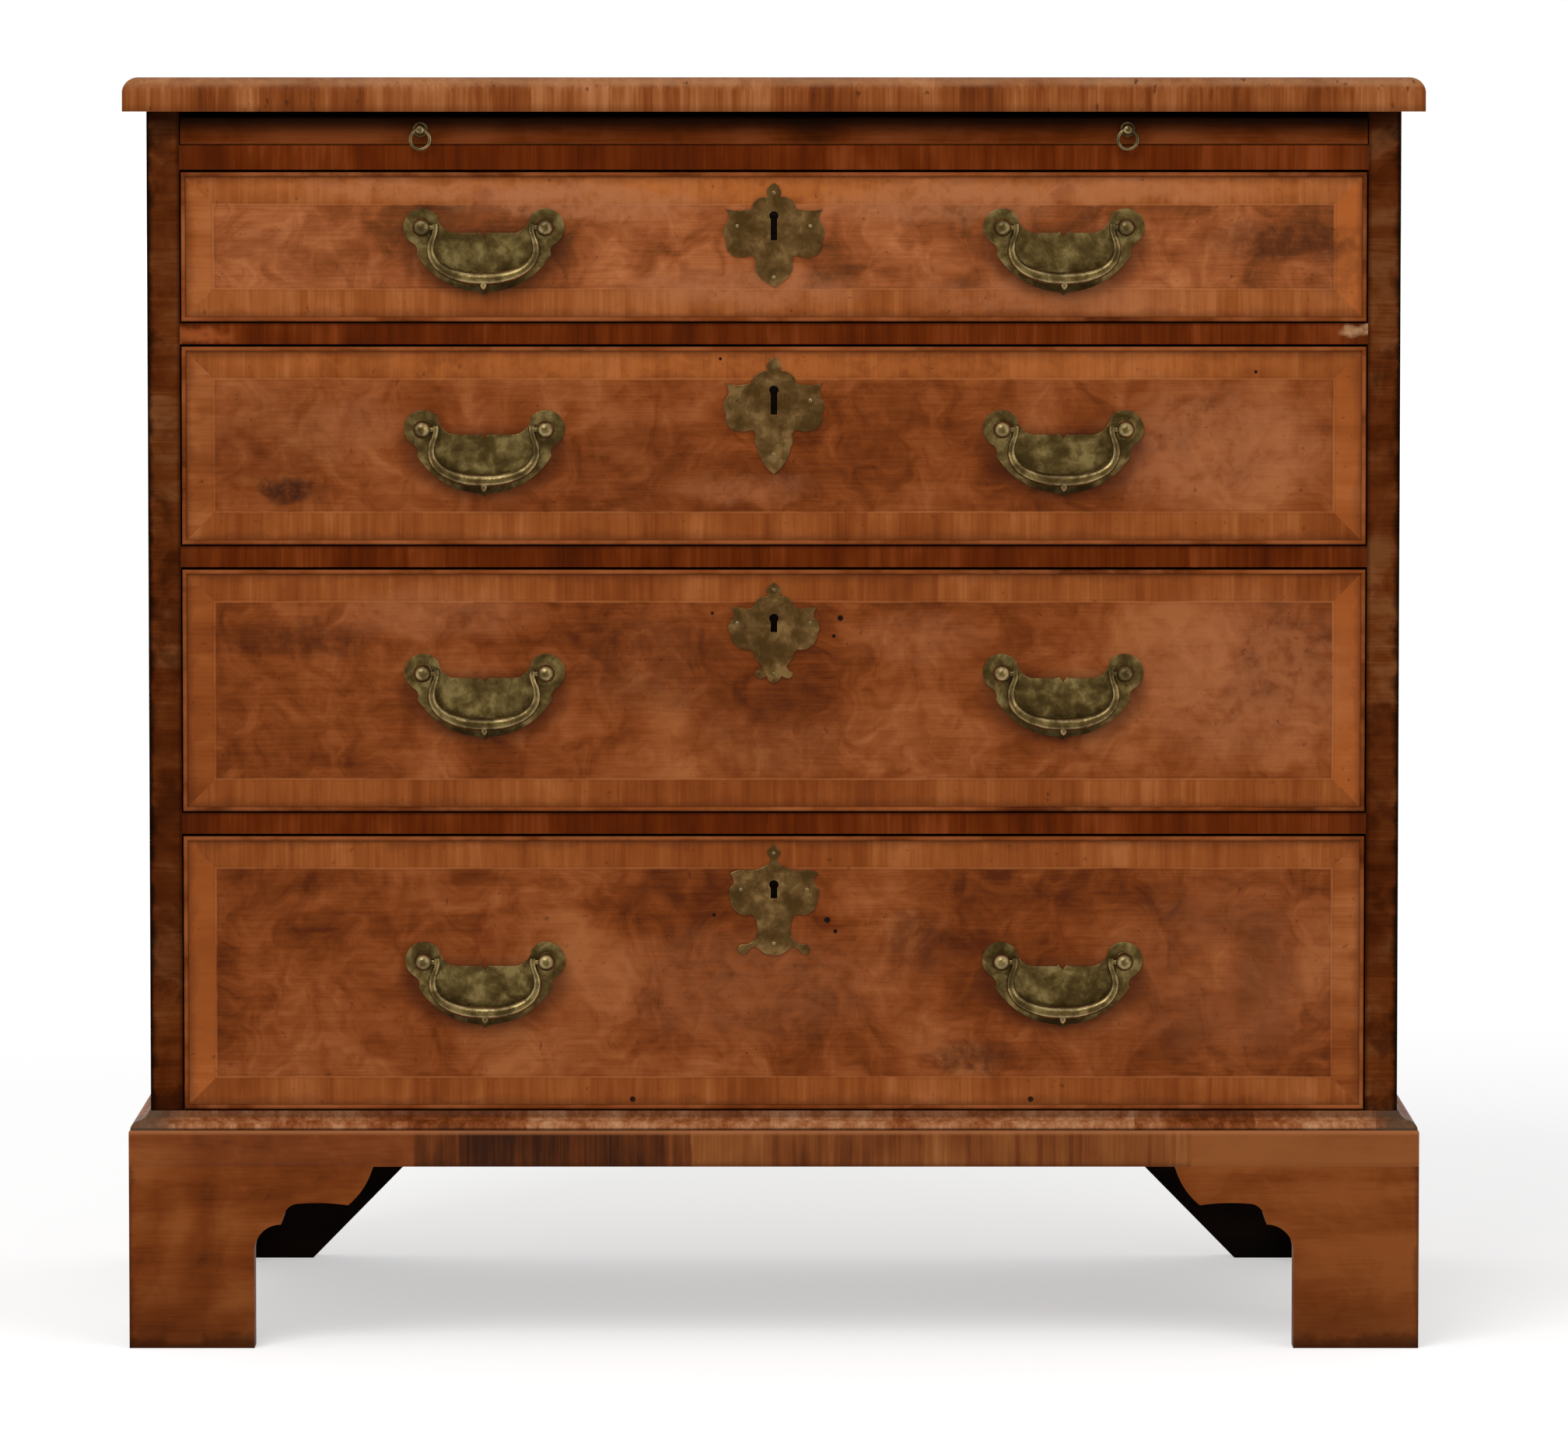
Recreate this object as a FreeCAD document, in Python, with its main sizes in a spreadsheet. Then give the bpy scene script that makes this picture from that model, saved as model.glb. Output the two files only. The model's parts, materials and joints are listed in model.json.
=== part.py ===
import FreeCAD, Part
import math
import os
from types import SimpleNamespace

import Sketcher

# A walnut bachelors chest of the Georgian kind: a brushing slide over four graduated drawers,
# on a moulded plinth with bracket feet. All lengths are in millimetres. X runs along the front,
# Y from the front to the back and Z upwards from the floor; the origin is under the middle.

# ---------------------------------------------------------------------------
# Driving dimensions
# ---------------------------------------------------------------------------

SIZES = {
    # Case.
    "case_width": 772.0,
    "case_depth": 446.0,
    "side_thickness": 20.0,
    "back_thickness": 10.0,
    "back_rebate": 10.0,
    "bottom_thickness": 11.0,
    "housing_depth": 6.0,
    "housing_setback": 5.0,
    "rail_depth": 50.0,
    "rail_thickness": 13.0,
    "slide_rail_thickness": 15.0,
    "dust_board_thickness": 9.0,
    "slide_space": 20.7,
    "opening_one": 94.3,
    "opening_two": 124.5,
    "opening_three": 152.0,
    "opening_four": 172.0,
    # Top.
    "top_overhang": 14.0,
    "top_thickness": 21.0,
    "top_moulding_width": 22.0,
    "top_rounding": 9.5,
    # Plinth, its moulding and the bracket feet.
    "foot_height": 113.0,
    "plinth_height": 22.5,
    "plinth_member": 50.0,
    "plinth_step": 13.0,
    "plinth_arris": 1.5,
    "base_moulding_step": 12.0,
    "base_moulding_fillet": 1.4,
    "base_moulding_arris": 1.0,
    "bracket_thickness": 20.0,
    "bracket_toe": 77.4,
    "bracket_reach": 151.0,
    "bracket_hollow_radius": 16.6,
    "bracket_hollow_drop": 36.0,
    "bracket_cusp_width": 1.5,
    "bracket_cusp_height": 4.5,
    "bracket_lobe_width": 9.5,
    "bracket_lobe_height": 8.5,
    "bracket_lobe_radius": 9.6,
    "bracket_arch_radius": 130.0,
    "bracket_end_width": 15.5,
    "bracket_end_drop": 24.0,
    "bracket_end_radius": 46.0,
    "rear_toe": 92.0,
    "rear_reach": 203.0,
    "rear_board_thickness": 18.0,
    "foot_block": 32.0,
    "foot_block_lift": 2.0,
    # Brushing slide and its ring pulls.
    "slide_thickness": 17.0,
    "slide_back_clearance": 36.0,
    "slide_side_gap": 0.7,
    "slide_edge_width": 16.0,
    "slide_cleat_width": 46.0,
    "slide_bead": 1.6,
    "ring_spacing": 435.0,
    "ring_lift": 9.35,
    "ring_radius": 6.0,
    "ring_wire": 1.1,
    "ring_post_standoff": 5.5,
    "ring_ball_radius": 3.5,
    "ring_hole_radius": 2.05,
    "ring_neck_radius": 2.0,
    "ring_shank_radius": 1.5,
    "ring_shank_length": 12.0,
    "ring_rose_radius": 4.6,
    "ring_rose_thickness": 1.0,
    # Drawers.
    "drawer_back_clearance": 16.0,
    "drawer_side_gap": 1.0,
    "drawer_top_gap": 1.5,
    "drawer_front_lift": 1.0,
    "running_gap": 0.3,
    "front_thickness": 20.0,
    "drawer_side_thickness": 9.5,
    "drawer_back_thickness": 9.0,
    "drawer_bottom_thickness": 7.0,
    "drawer_bottom_lift": 9.0,
    "drawer_groove": 4.5,
    "side_drop": 4.0,
    "back_drop": 6.0,
    "lap": 1.5,
    "tail_share": 0.28,
    "tail_slope": 6.0,
    "tail_clearance": 0.1,
    "cockbead_thickness": 2.8,
    "cockbead_depth": 8.0,
    "cockbead_proud": 2.0,
    "cockbead_rounding": 1.1,
    "drawer_stop_length": 32.0,
    "drawer_stop_width": 18.0,
    "drawer_stop_height": 6.0,
    "drawer_stop_offset": 250.0,
    # Locks and keyholes.
    "lock_width": 60.0,
    "lock_height": 50.0,
    "lock_thickness": 10.0,
    "bolt_width": 24.0,
    "bolt_thickness": 5.0,
    "bolt_height": 18.0,
    "bolt_throw": 8.0,
    "bolt_clearance": 0.2,
    "mortise_clearance": 1.0,
    "mortise_depth": 9.0,
    "keyhole_drop": 33.0,
    "keyhole_radius": 2.9,
    "keyhole_slot": 4.0,
    "upper_keyhole_height": 18.0,
    "lower_keyhole_height": 11.5,
    "keyhole_lock_depth": 4.0,
    "escutcheon_thickness": 1.2,
    # Drop handles.
    "handle_spacing": 357.0,
    "handle_lift_one": 59.0,
    "handle_lift_two": 72.4,
    "handle_lift_three": 87.0,
    "handle_lift_four": 93.5,
    "post_pitch": 76.0,
    "post_standoff": 12.5,
    "ball_radius": 5.5,
    "post_neck_radius": 3.2,
    "post_collar_radius": 5.2,
    "post_collar_thickness": 1.6,
    "shank_radius": 2.75,
    "shank_end": 2.0,
    "nut_width": 11.0,
    "nut_thickness": 3.5,
    "plate_thickness": 1.5,
    "ear_radius": 11.5,
    "plate_waist_drop": 3.6,
    "plate_waist_radius": 12.0,
    "plate_waist_end": 19.0,
    "plate_nick_drop": 6.2,
    "plate_nick_width": 2.6,
    "plate_nick_lip": 1.2,
    "plate_nick_radius": 1.6,
    "plate_ear_hollow": 5.2,
    "plate_corner_width": 3.4,
    "plate_sweep": 48.5,
    "plate_drop": 40.0,
    "plate_tail_width": 4.6,
    "plate_tail_drop": 2.2,
    "plate_tail_radius": 5.0,
    "bail_drop": 31.5,
    "bail_end_radius": 2.1,
    "bail_middle_radius": 3.8,
    "bail_gap": 0.6,
    "finial_seat": 2.0,
    "finial_radius": 2.6,
    "finial_neck_radius": 2.2,
    "finial_neck_drop": 0.9,
    "finial_rounding": 4.5,
    "finial_tip_radius": 0.5,
    "finial_length": 3.2,
    "pintle_radius": 1.6,
    "pintle_clearance": 0.05,
    "pintle_insertion": 7.0,
}

document = FreeCAD.newDocument("bachelors_chest")
sheet = document.addObject("Spreadsheet::Sheet", "Sizes")
for row, (alias, number) in enumerate(SIZES.items(), start=1):
    sheet.set(f"A{row}", alias)
    sheet.set(f"B{row}", str(number))
    sheet.setAlias(f"B{row}", alias)
document.recompute()


class Size:
    """A length with both its present value and its spreadsheet expression."""

    def __init__(self, value, text):
        self.value = value
        self.text = text

    def __add__(self, other):
        other = as_size(other)
        return Size(self.value + other.value, f"({self.text} + {other.text})")

    def __sub__(self, other):
        other = as_size(other)
        return Size(self.value - other.value, f"({self.text} - {other.text})")

    def __mul__(self, other):
        other = as_size(other)
        return Size(self.value * other.value, f"({self.text} * {other.text})")

    def __truediv__(self, other):
        other = as_size(other)
        return Size(self.value / other.value, f"({self.text} / {other.text})")

    def __neg__(self):
        return Size(-self.value, f"(0 - {self.text})")

    def __radd__(self, other):
        return as_size(other) + self

    def __rsub__(self, other):
        return as_size(other) - self

    def __rmul__(self, other):
        return as_size(other) * self


def as_size(number):
    """Wrap a plain number as a Size."""
    if isinstance(number, Size):
        return number
    return Size(float(number), f"({float(number)!r})")


def square_root(size):
    return Size(math.sqrt(size.value), f"sqrt({size.text})")


def heading(across, up):
    """Angle in degrees of the direction (across, up)."""
    return math.degrees(math.atan2(up.value, across.value))


size = SimpleNamespace(**{alias: Size(number, f"Sizes.{alias}") for alias, number in SIZES.items()})

# ---------------------------------------------------------------------------
# Levels and planes that the pieces share
# ---------------------------------------------------------------------------

half_case = size.case_width / 2
case_inner = half_case - size.side_thickness
housing_end = case_inner + size.housing_depth
handle_reach = size.post_standoff + size.ball_radius
case_front = (handle_reach - size.case_depth) / 2
case_back = case_front + size.case_depth
inside_back = case_back - size.back_thickness

plinth_top = size.foot_height + size.plinth_height
plinth_front = case_front - size.plinth_step
half_plinth = half_case + size.plinth_step
half_top = half_case + size.top_overhang
top_front = case_front - size.top_overhang

OPENINGS = [size.opening_one, size.opening_two, size.opening_three, size.opening_four]
FLOOR_THICKNESSES = [size.rail_thickness, size.rail_thickness, size.rail_thickness, size.bottom_thickness]
HANDLE_LIFTS = [size.handle_lift_one, size.handle_lift_two, size.handle_lift_three, size.handle_lift_four]
KEYHOLE_HEIGHTS = [
    size.upper_keyhole_height,
    size.upper_keyhole_height,
    size.lower_keyhole_height,
    size.lower_keyhole_height,
]
TAIL_COUNTS = [3, 4, 5, 5]

floors = [None] * len(OPENINGS)
level = plinth_top
for number in reversed(range(len(OPENINGS))):
    level = level + FLOOR_THICKNESSES[number]
    floors[number] = level
    level = level + OPENINGS[number]
slide_floor = level + size.slide_rail_thickness
case_top = slide_floor + size.slide_space
chest_top = case_top + size.top_thickness

# ---------------------------------------------------------------------------
# Drawing helpers
# ---------------------------------------------------------------------------

# The origin plane that an extrusion along each axis is drawn on. The XZ plane faces the front.
PLANES = {"X": "YZ_Plane", "Y": "XZ_Plane", "Z": "XY_Plane"}

# Every pocket has to take away at least this volume in cubic millimetres.
SMALLEST_CUT = 0.1

nodes = []
cuts = []


def bind(target, name, length):
    """Let a property follow the spreadsheet."""
    target.setExpression(name, as_size(length).text)


def new_body(label):
    body = document.addObject("PartDesign::Body", label)
    body.Label = label
    return body


def place(body, x=0, y=0, z=0):
    bind(body, "Placement.Base.x", x)
    bind(body, "Placement.Base.y", y)
    bind(body, "Placement.Base.z", z)


def new_sketch(body, axis, lift=0):
    """A sketch on the body's own plane across the axis, lifted along the plane's normal."""
    plane = next(item for item in body.Origin.OriginFeatures if item.Role == PLANES[axis])
    sketch = body.newObject("Sketcher::SketchObject", "Sketch")
    sketch.AttachmentSupport = [(plane, "")]
    sketch.MapMode = "FlatFace"
    bind(sketch, "AttachmentOffset.Base.z", lift)
    return sketch


def rectangle(left, low, right, high):
    return [(left, low), (right, low), (right, high), (left, high)]


def mirrored(outline):
    """The outline seen in a mirror: its first coordinate and its arcs change sign."""
    flipped = []
    for corner in outline:
        flipped.append((-as_size(corner[0]), corner[1]) + tuple(-turn for turn in corner[2:]))
    return flipped


def swapped(outline):
    """The outline with its two coordinates exchanged, which also turns its arcs the other way."""
    exchanged = []
    for corner in outline:
        exchanged.append((corner[1], corner[0]) + tuple(-turn for turn in corner[2:]))
    return exchanged


def nosed_section(first, second, nose, tail):
    """Section of a strip from first to second, with a half-round nose at the front."""
    radius = (second - first) / 2
    return [
        (second, nose + radius),
        (second, tail),
        (first, tail),
        (first, nose + radius, radius),
        (first + radius, nose, radius),
    ]


def sided(outline, side):
    """The outline itself on the right side (+1), mirrored on the left side (-1)."""
    return outline if side > 0 else mirrored(outline)


def sided_span(side, near, far):
    """The span from near to far of the middle, on the given side, as low and high ends."""
    return (near, far) if side > 0 else (-far, -near)


def arc_between(start, end, radius):
    """The short arc from start to end; it turns left for a positive radius, right for a negative one."""
    chord = end - start
    half = chord.Length / 2
    rise = math.sqrt(max(radius * radius - half * half, 0.0))
    normal = FreeCAD.Vector(-chord.y, chord.x, 0).normalize()
    centre = (start + end) * 0.5 + normal * math.copysign(rise, radius)
    circle = Part.Circle(centre, FreeCAD.Vector(0, 0, 1), abs(radius))
    first, last = (start, end) if radius > 0 else (end, start)
    return Part.ArcOfCircle(circle, circle.parameter(first), circle.parameter(last))


def draw(sketch, outline):
    """Close an outline in the sketch. A corner's third value is the radius of the edge that leaves it."""
    base = sketch.GeometryCount
    corners = [(as_size(corner[0]), as_size(corner[1])) for corner in outline]
    turns = [as_size(corner[2]) if len(corner) > 2 else None for corner in outline]
    points = [FreeCAD.Vector(across.value, up.value, 0) for across, up in corners]
    count = len(outline)
    geometry = []
    for index in range(count):
        start, end = points[index], points[(index + 1) % count]
        if turns[index] is None:
            geometry.append(Part.LineSegment(start, end))
        else:
            geometry.append(arc_between(start, end, turns[index].value))
    sketch.addGeometry(geometry, False)
    backward = [turn is not None and turn.value < 0 for turn in turns]
    constraints = []
    bindings = []
    for index, (across, up) in enumerate(corners):
        following = (index + 1) % count
        start_vertex = 2 if backward[index] else 1
        end_vertex = 1 if backward[index] else 2
        next_vertex = 2 if backward[following] else 1
        edge = base + index
        meeting = (edge, end_vertex, base + following, next_vertex)
        constraints.append(Sketcher.Constraint("Coincident", *meeting))
        bindings.append(None)
        constraints.append(Sketcher.Constraint("DistanceX", edge, start_vertex, across.value))
        bindings.append(across)
        constraints.append(Sketcher.Constraint("DistanceY", edge, start_vertex, up.value))
        bindings.append(up)
        if turns[index] is not None:
            radius = -turns[index] if backward[index] else turns[index]
            constraints.append(Sketcher.Constraint("Radius", edge, radius.value))
            bindings.append(radius)
    add_constraints(sketch, constraints, bindings)


def draw_circle(sketch, across, up, radius):
    edge = sketch.GeometryCount
    across, up, radius = as_size(across), as_size(up), as_size(radius)
    centre = FreeCAD.Vector(across.value, up.value, 0)
    sketch.addGeometry([Part.Circle(centre, FreeCAD.Vector(0, 0, 1), radius.value)], False)
    constraints = [
        Sketcher.Constraint("DistanceX", edge, 3, across.value),
        Sketcher.Constraint("DistanceY", edge, 3, up.value),
        Sketcher.Constraint("Radius", edge, radius.value),
    ]
    add_constraints(sketch, constraints, [across, up, radius])


def add_constraints(sketch, constraints, bindings):
    """Add the constraints and tie each one that has a size to the spreadsheet."""
    first = sketch.ConstraintCount
    sketch.addConstraint(constraints)
    for offset, length in enumerate(bindings):
        if length is not None:
            sketch.setExpression(f"Constraints[{first + offset}]", length.text)


def draw_all(sketch, shapes):
    """Draw outlines (lists of corners) and circles (tuples of centre and radius)."""
    for shape in shapes:
        if isinstance(shape, tuple):
            draw_circle(sketch, *shape)
        else:
            draw(sketch, shape)


def add_solid(body, axis, shapes, low, high):
    """Pad the shapes along the axis, from low to high."""
    low, high = as_size(low), as_size(high)
    sketch = new_sketch(body, axis, -high if axis == "Y" else low)
    draw_all(sketch, shapes)
    pad = body.newObject("PartDesign::Pad", "Pad")
    pad.Profile = sketch
    bind(pad, "Length", high - low)
    return pad


def cut_solid(body, axis, shapes, low, high):
    """Pocket the shapes along the axis, from low to high."""
    low, high = as_size(low), as_size(high)
    before = body.Tip
    sketch = new_sketch(body, axis, -low if axis == "Y" else high)
    draw_all(sketch, shapes)
    pocket = body.newObject("PartDesign::Pocket", "Pocket")
    pocket.Profile = sketch
    bind(pocket, "Length", high - low)
    cuts.append((body, before, pocket))
    return pocket


def revolve(body, axis, shapes):
    """Turn the shapes once round the sketch's upright axis."""
    sketch = new_sketch(body, axis)
    draw_all(sketch, shapes)
    revolution = body.newObject("PartDesign::Revolution", "Revolution")
    revolution.Profile = sketch
    revolution.ReferenceAxis = (sketch, ["V_Axis"])
    revolution.Angle = 360.0
    return revolution


def round_edges(body, radius, wanted):
    """Fillet the edges of the body's last feature whose middle passes the test."""
    feature = body.Tip
    feature.recompute(True)
    names = []
    for index, edge in enumerate(feature.Shape.Edges, start=1):
        if wanted(edge.CenterOfMass):
            names.append(f"Edge{index}")
    fillet = body.newObject("PartDesign::Fillet", "Fillet")
    fillet.Base = (feature, names)
    bind(fillet, "Radius", radius)
    return fillet


def near(coordinate, length):
    return abs(coordinate - as_size(length).value) < 0.01


def add_node(label, bodies):
    """Register a sub-part: one body, or several that stay separate solids under one label."""
    if len(bodies) == 1:
        nodes.append(bodies[0])
        return
    group = document.addObject("Part::Compound", label)
    group.Links = bodies
    group.Label = label
    nodes.append(group)


# ---------------------------------------------------------------------------
# Top
# ---------------------------------------------------------------------------


def make_top():
    board = new_body("top_board")
    inner_half = half_top - size.top_moulding_width
    inner_front = top_front + size.top_moulding_width
    plan = rectangle(-inner_half, inner_front, inner_half, case_back)
    add_solid(board, "Z", [plan], case_top, chest_top)
    add_node("top_board", [board])

    front = new_body("top_moulding_front")
    plan = [
        (-half_top, top_front),
        (half_top, top_front),
        (inner_half, inner_front),
        (-inner_half, inner_front),
    ]
    add_solid(front, "Z", [plan], case_top, chest_top)
    round_edges(front, size.top_rounding, lambda mid: near(mid.y, top_front) and near(mid.z, chest_top))
    strips = [front]
    for side, name in ((-1, "left"), (1, "right")):
        strip = new_body(f"top_moulding_{name}")
        plan = [
            (half_top, top_front),
            (half_top, case_back),
            (inner_half, case_back),
            (inner_half, inner_front),
        ]
        add_solid(strip, "Z", [sided(plan, side)], case_top, chest_top)
        edge = half_top * side
        round_edges(strip, size.top_rounding, lambda mid: near(mid.x, edge) and near(mid.z, chest_top))
        strips.append(strip)
    add_node("top_moulding", strips)


# ---------------------------------------------------------------------------
# Case
# ---------------------------------------------------------------------------

# Top level and front thickness of the four shelves: under the slide and under drawers one to three.
SHELVES = [(slide_floor, size.slide_rail_thickness)]
SHELVES += [(floors[number], size.rail_thickness) for number in range(3)]
rail_back = case_front + size.rail_depth
bolt_line = case_front + size.front_thickness - size.lock_thickness / 2


def make_case_side(side, name):
    body = new_body(f"case_side_{name}")
    face = rectangle(case_front, plinth_top, case_back, case_top)
    add_solid(body, "X", [face], *sided_span(side, case_inner, half_case))
    housings = []
    for top, thickness in SHELVES:
        housings.append([
            (case_front + size.housing_setback, top - thickness),
            (rail_back, top - thickness),
            (rail_back, top - size.dust_board_thickness),
            (inside_back, top - size.dust_board_thickness),
            (inside_back, top),
            (case_front + size.housing_setback, top),
        ])
    housings.append(rectangle(case_front, plinth_top, inside_back, floors[3]))
    cut_solid(body, "X", housings, *sided_span(side, case_inner, housing_end))
    rebate = rectangle(case_inner, plinth_top, case_inner + size.back_rebate, case_top)
    cut_solid(body, "Y", [sided(rebate, side)], inside_back, case_back)
    add_node(body.Label, [body])


def make_case_bottom():
    body = new_body("case_bottom")
    plan = rectangle(-housing_end, case_front, housing_end, inside_back)
    add_solid(body, "Z", [plan], plinth_top, floors[3])
    add_node(body.Label, [body])


def make_shelves():
    """The front rails, each with a mortise for the lock bolt below it, and the dust boards behind them."""
    rails = []
    boards = []
    tongue_front = case_front + size.housing_setback
    mortise_half = size.bolt_width / 2 + size.mortise_clearance
    mortise_reach = size.bolt_thickness / 2 + size.mortise_clearance
    for index, (top, thickness) in enumerate(SHELVES):
        rail = new_body(f"rail_{index + 1}")
        half_plan = [(0, case_front), (case_inner, case_front), (case_inner, tongue_front)]
        half_plan += [(housing_end, tongue_front), (housing_end, rail_back)]
        plan = half_plan[1:] + mirrored(half_plan[1:])[::-1]
        add_solid(rail, "Z", [plan], top - thickness, top)
        mortise_span = (bolt_line - mortise_reach, bolt_line + mortise_reach)
        mortise = rectangle(-mortise_half, mortise_span[0], mortise_half, mortise_span[1])
        cut_solid(rail, "Z", [mortise], top - thickness, top - thickness + size.mortise_depth)
        rails.append(rail)
        board = new_body(f"dust_board_{index + 1}")
        plan = rectangle(-housing_end, rail_back, housing_end, inside_back)
        add_solid(board, "Z", [plan], top - size.dust_board_thickness, top)
        boards.append(board)
    add_node("drawer_rails", rails)
    add_node("dust_boards", boards)


BACK_BOARD_COUNT = 3


def make_back_boards():
    """Upright boards side by side in the rebates of the case sides."""
    edge = case_inner + size.back_rebate
    width = edge * 2 / BACK_BOARD_COUNT
    boards = []
    for index in range(BACK_BOARD_COUNT):
        board = new_body(f"back_board_{index + 1}")
        left = width * index - edge
        face = rectangle(left, plinth_top, left + width, case_top)
        add_solid(board, "Y", [face], inside_back, case_back)
        boards.append(board)
    add_node("back_boards", boards)


def make_drawer_stops():
    """Two small blocks on the floor of each opening, which meet the back of the drawer front."""
    stop_front = case_front + size.front_thickness + size.running_gap
    stops = []
    for number, floor in enumerate(floors, start=1):
        stop = new_body(f"drawer_stops_{number}")
        plans = []
        half = size.drawer_stop_length / 2
        for side in (-1, 1):
            middle = size.drawer_stop_offset * side
            stop_back = stop_front + size.drawer_stop_width
            plans.append(rectangle(middle - half, stop_front, middle + half, stop_back))
        add_solid(stop, "Z", plans, floor, floor + size.drawer_stop_height)
        stops.append(stop)
    add_node("drawer_stops", stops)


# ---------------------------------------------------------------------------
# Plinth and feet
# ---------------------------------------------------------------------------


def mitre_corner(outer, front, size_in):
    """Plan of the triangle in front of the mitre, from the outer front corner."""
    return [(outer, front), (outer, front + size_in), (outer - size_in, front + size_in)]


def mitre_flank(outer, front, size_in):
    """Plan of the triangle beside the mitre, from the outer front corner."""
    return [(outer, front), (outer - size_in, front + size_in), (outer - size_in, front)]


def make_plinth():
    member = size.plinth_member
    inner_half = half_plinth - member
    inner_front = plinth_front + member
    front = new_body("plinth_front")
    plan = [
        (-half_plinth, plinth_front),
        (half_plinth, plinth_front),
        (inner_half, inner_front),
        (-inner_half, inner_front),
    ]
    add_solid(front, "Z", [plan], size.foot_height, plinth_top)
    round_edges(front, size.plinth_arris, lambda mid: near(mid.y, plinth_front) and near(mid.z, plinth_top))
    members = [front]
    for side, name in ((-1, "left"), (1, "right")):
        flank = new_body(f"plinth_{name}")
        plan = [
            (half_plinth, plinth_front),
            (half_plinth, case_back),
            (inner_half, case_back),
            (inner_half, inner_front),
        ]
        add_solid(flank, "Z", [sided(plan, side)], size.foot_height, plinth_top)
        edge = half_plinth * side
        round_edges(flank, size.plinth_arris, lambda mid: near(mid.x, edge) and near(mid.z, plinth_top))
        members.append(flank)
    back = new_body("plinth_back")
    plan = rectangle(-inner_half, case_back - member, inner_half, case_back)
    add_solid(back, "Z", [plan], size.foot_height, plinth_top)
    members.append(back)
    add_node("plinth_frame", members)


def moulding_profile():
    """The ogee from the plinth's top to the case: corners as distance from the case, height and turn."""
    step = size.base_moulding_step
    rise = size.bottom_thickness
    fillet = size.base_moulding_fillet
    turning_point = fillet + (rise - fillet) * 0.45
    return [
        (0, 0),
        (step, 0),
        (step, fillet, step * 0.52),
        (step / 2, turning_point, -step * 0.66),
        (size.base_moulding_arris, rise),
        (0, rise),
    ]


def make_base_moulding():
    step = size.base_moulding_step
    outer = half_case + step
    front_line = case_front - step
    front = new_body("base_moulding_front")
    profile = [(case_front - corner[0], plinth_top + corner[1]) + tuple(-turn for turn in corner[2:])
               for corner in moulding_profile()]
    add_solid(front, "X", [profile], -outer, outer)
    waste = mitre_corner(outer, front_line, step)
    cut_solid(front, "Z", [waste, mirrored(waste)], plinth_top, floors[3])
    strips = [front]
    for side, name in ((-1, "left"), (1, "right")):
        strip = new_body(f"base_moulding_{name}")
        profile = [(half_case + corner[0], plinth_top + corner[1]) + corner[2:]
                   for corner in moulding_profile()]
        add_solid(strip, "Y", [sided(profile, side)], front_line, case_back)
        waste = mitre_flank(outer, front_line, step)
        cut_solid(strip, "Z", [sided(waste, side)], plinth_top, floors[3])
        strips.append(strip)
    add_node("base_moulding", strips)


def bracket_outline():
    """Face of a bracket: distance from its outer edge, height from the floor and turn of the edge.

    Above the toe come a quarter-round hollow, a cusp, a lobe and the long flat arch to the end.
    """
    toe = size.bracket_toe
    top = size.foot_height
    hollow = size.bracket_hollow_radius
    hollow_top = top - size.bracket_hollow_drop
    cusp_across = toe + hollow + size.bracket_cusp_width
    cusp_up = hollow_top + size.bracket_cusp_height
    lobe_across = cusp_across + size.bracket_lobe_width
    lobe_up = cusp_up + size.bracket_lobe_height
    end_across = size.bracket_reach - size.bracket_end_width
    return [
        (0, 0),
        (toe, 0),
        (toe, hollow_top - hollow, -hollow),
        (toe + hollow, hollow_top),
        (cusp_across, cusp_up, -size.bracket_lobe_radius),
        (lobe_across, lobe_up, -size.bracket_arch_radius),
        (end_across, top - size.bracket_end_drop, size.bracket_end_radius),
        (size.bracket_reach, top),
        (0, top),
    ]


def make_front_foot(side, name):
    """A front foot: two mitred brackets."""
    thickness = size.bracket_thickness
    outline = bracket_outline()
    face = new_body(f"front_{name}_face_bracket")
    on_front = [(half_plinth - corner[0], corner[1]) + tuple(-turn for turn in corner[2:])
                for corner in outline]
    add_solid(face, "Y", [sided(on_front, side)], plinth_front, plinth_front + thickness)
    waste = mitre_corner(half_plinth, plinth_front, thickness)
    cut_solid(face, "Z", [sided(waste, side)], 0, size.foot_height)
    flank = new_body(f"front_{name}_side_bracket")
    on_side = [(plinth_front + corner[0], corner[1]) + corner[2:] for corner in outline]
    add_solid(flank, "X", [on_side], *sided_span(side, half_plinth - thickness, half_plinth))
    waste = mitre_flank(half_plinth, plinth_front, thickness)
    cut_solid(flank, "Z", [sided(waste, side)], 0, size.foot_height)
    add_node(f"front_{name}_foot", [face, flank])


def make_rear_foot(side, name):
    """A rear foot: a shaped bracket at the side and a plain board with a slanting edge at the back."""
    flank = new_body(f"rear_{name}_side_bracket")
    on_side = [(case_back - corner[0], corner[1]) + tuple(-turn for turn in corner[2:])
               for corner in bracket_outline()]
    inner = half_plinth - size.bracket_thickness
    add_solid(flank, "X", [on_side], *sided_span(side, inner, half_plinth))
    board = new_body(f"rear_{name}_board")
    face = [
        (inner, 0),
        (inner, size.foot_height),
        (half_plinth - size.rear_reach, size.foot_height),
        (half_plinth - size.rear_toe, 0),
    ]
    add_solid(board, "Y", [sided(face, side)], case_back - size.rear_board_thickness, case_back)
    add_node(f"rear_{name}_foot", [flank, board])


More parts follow.
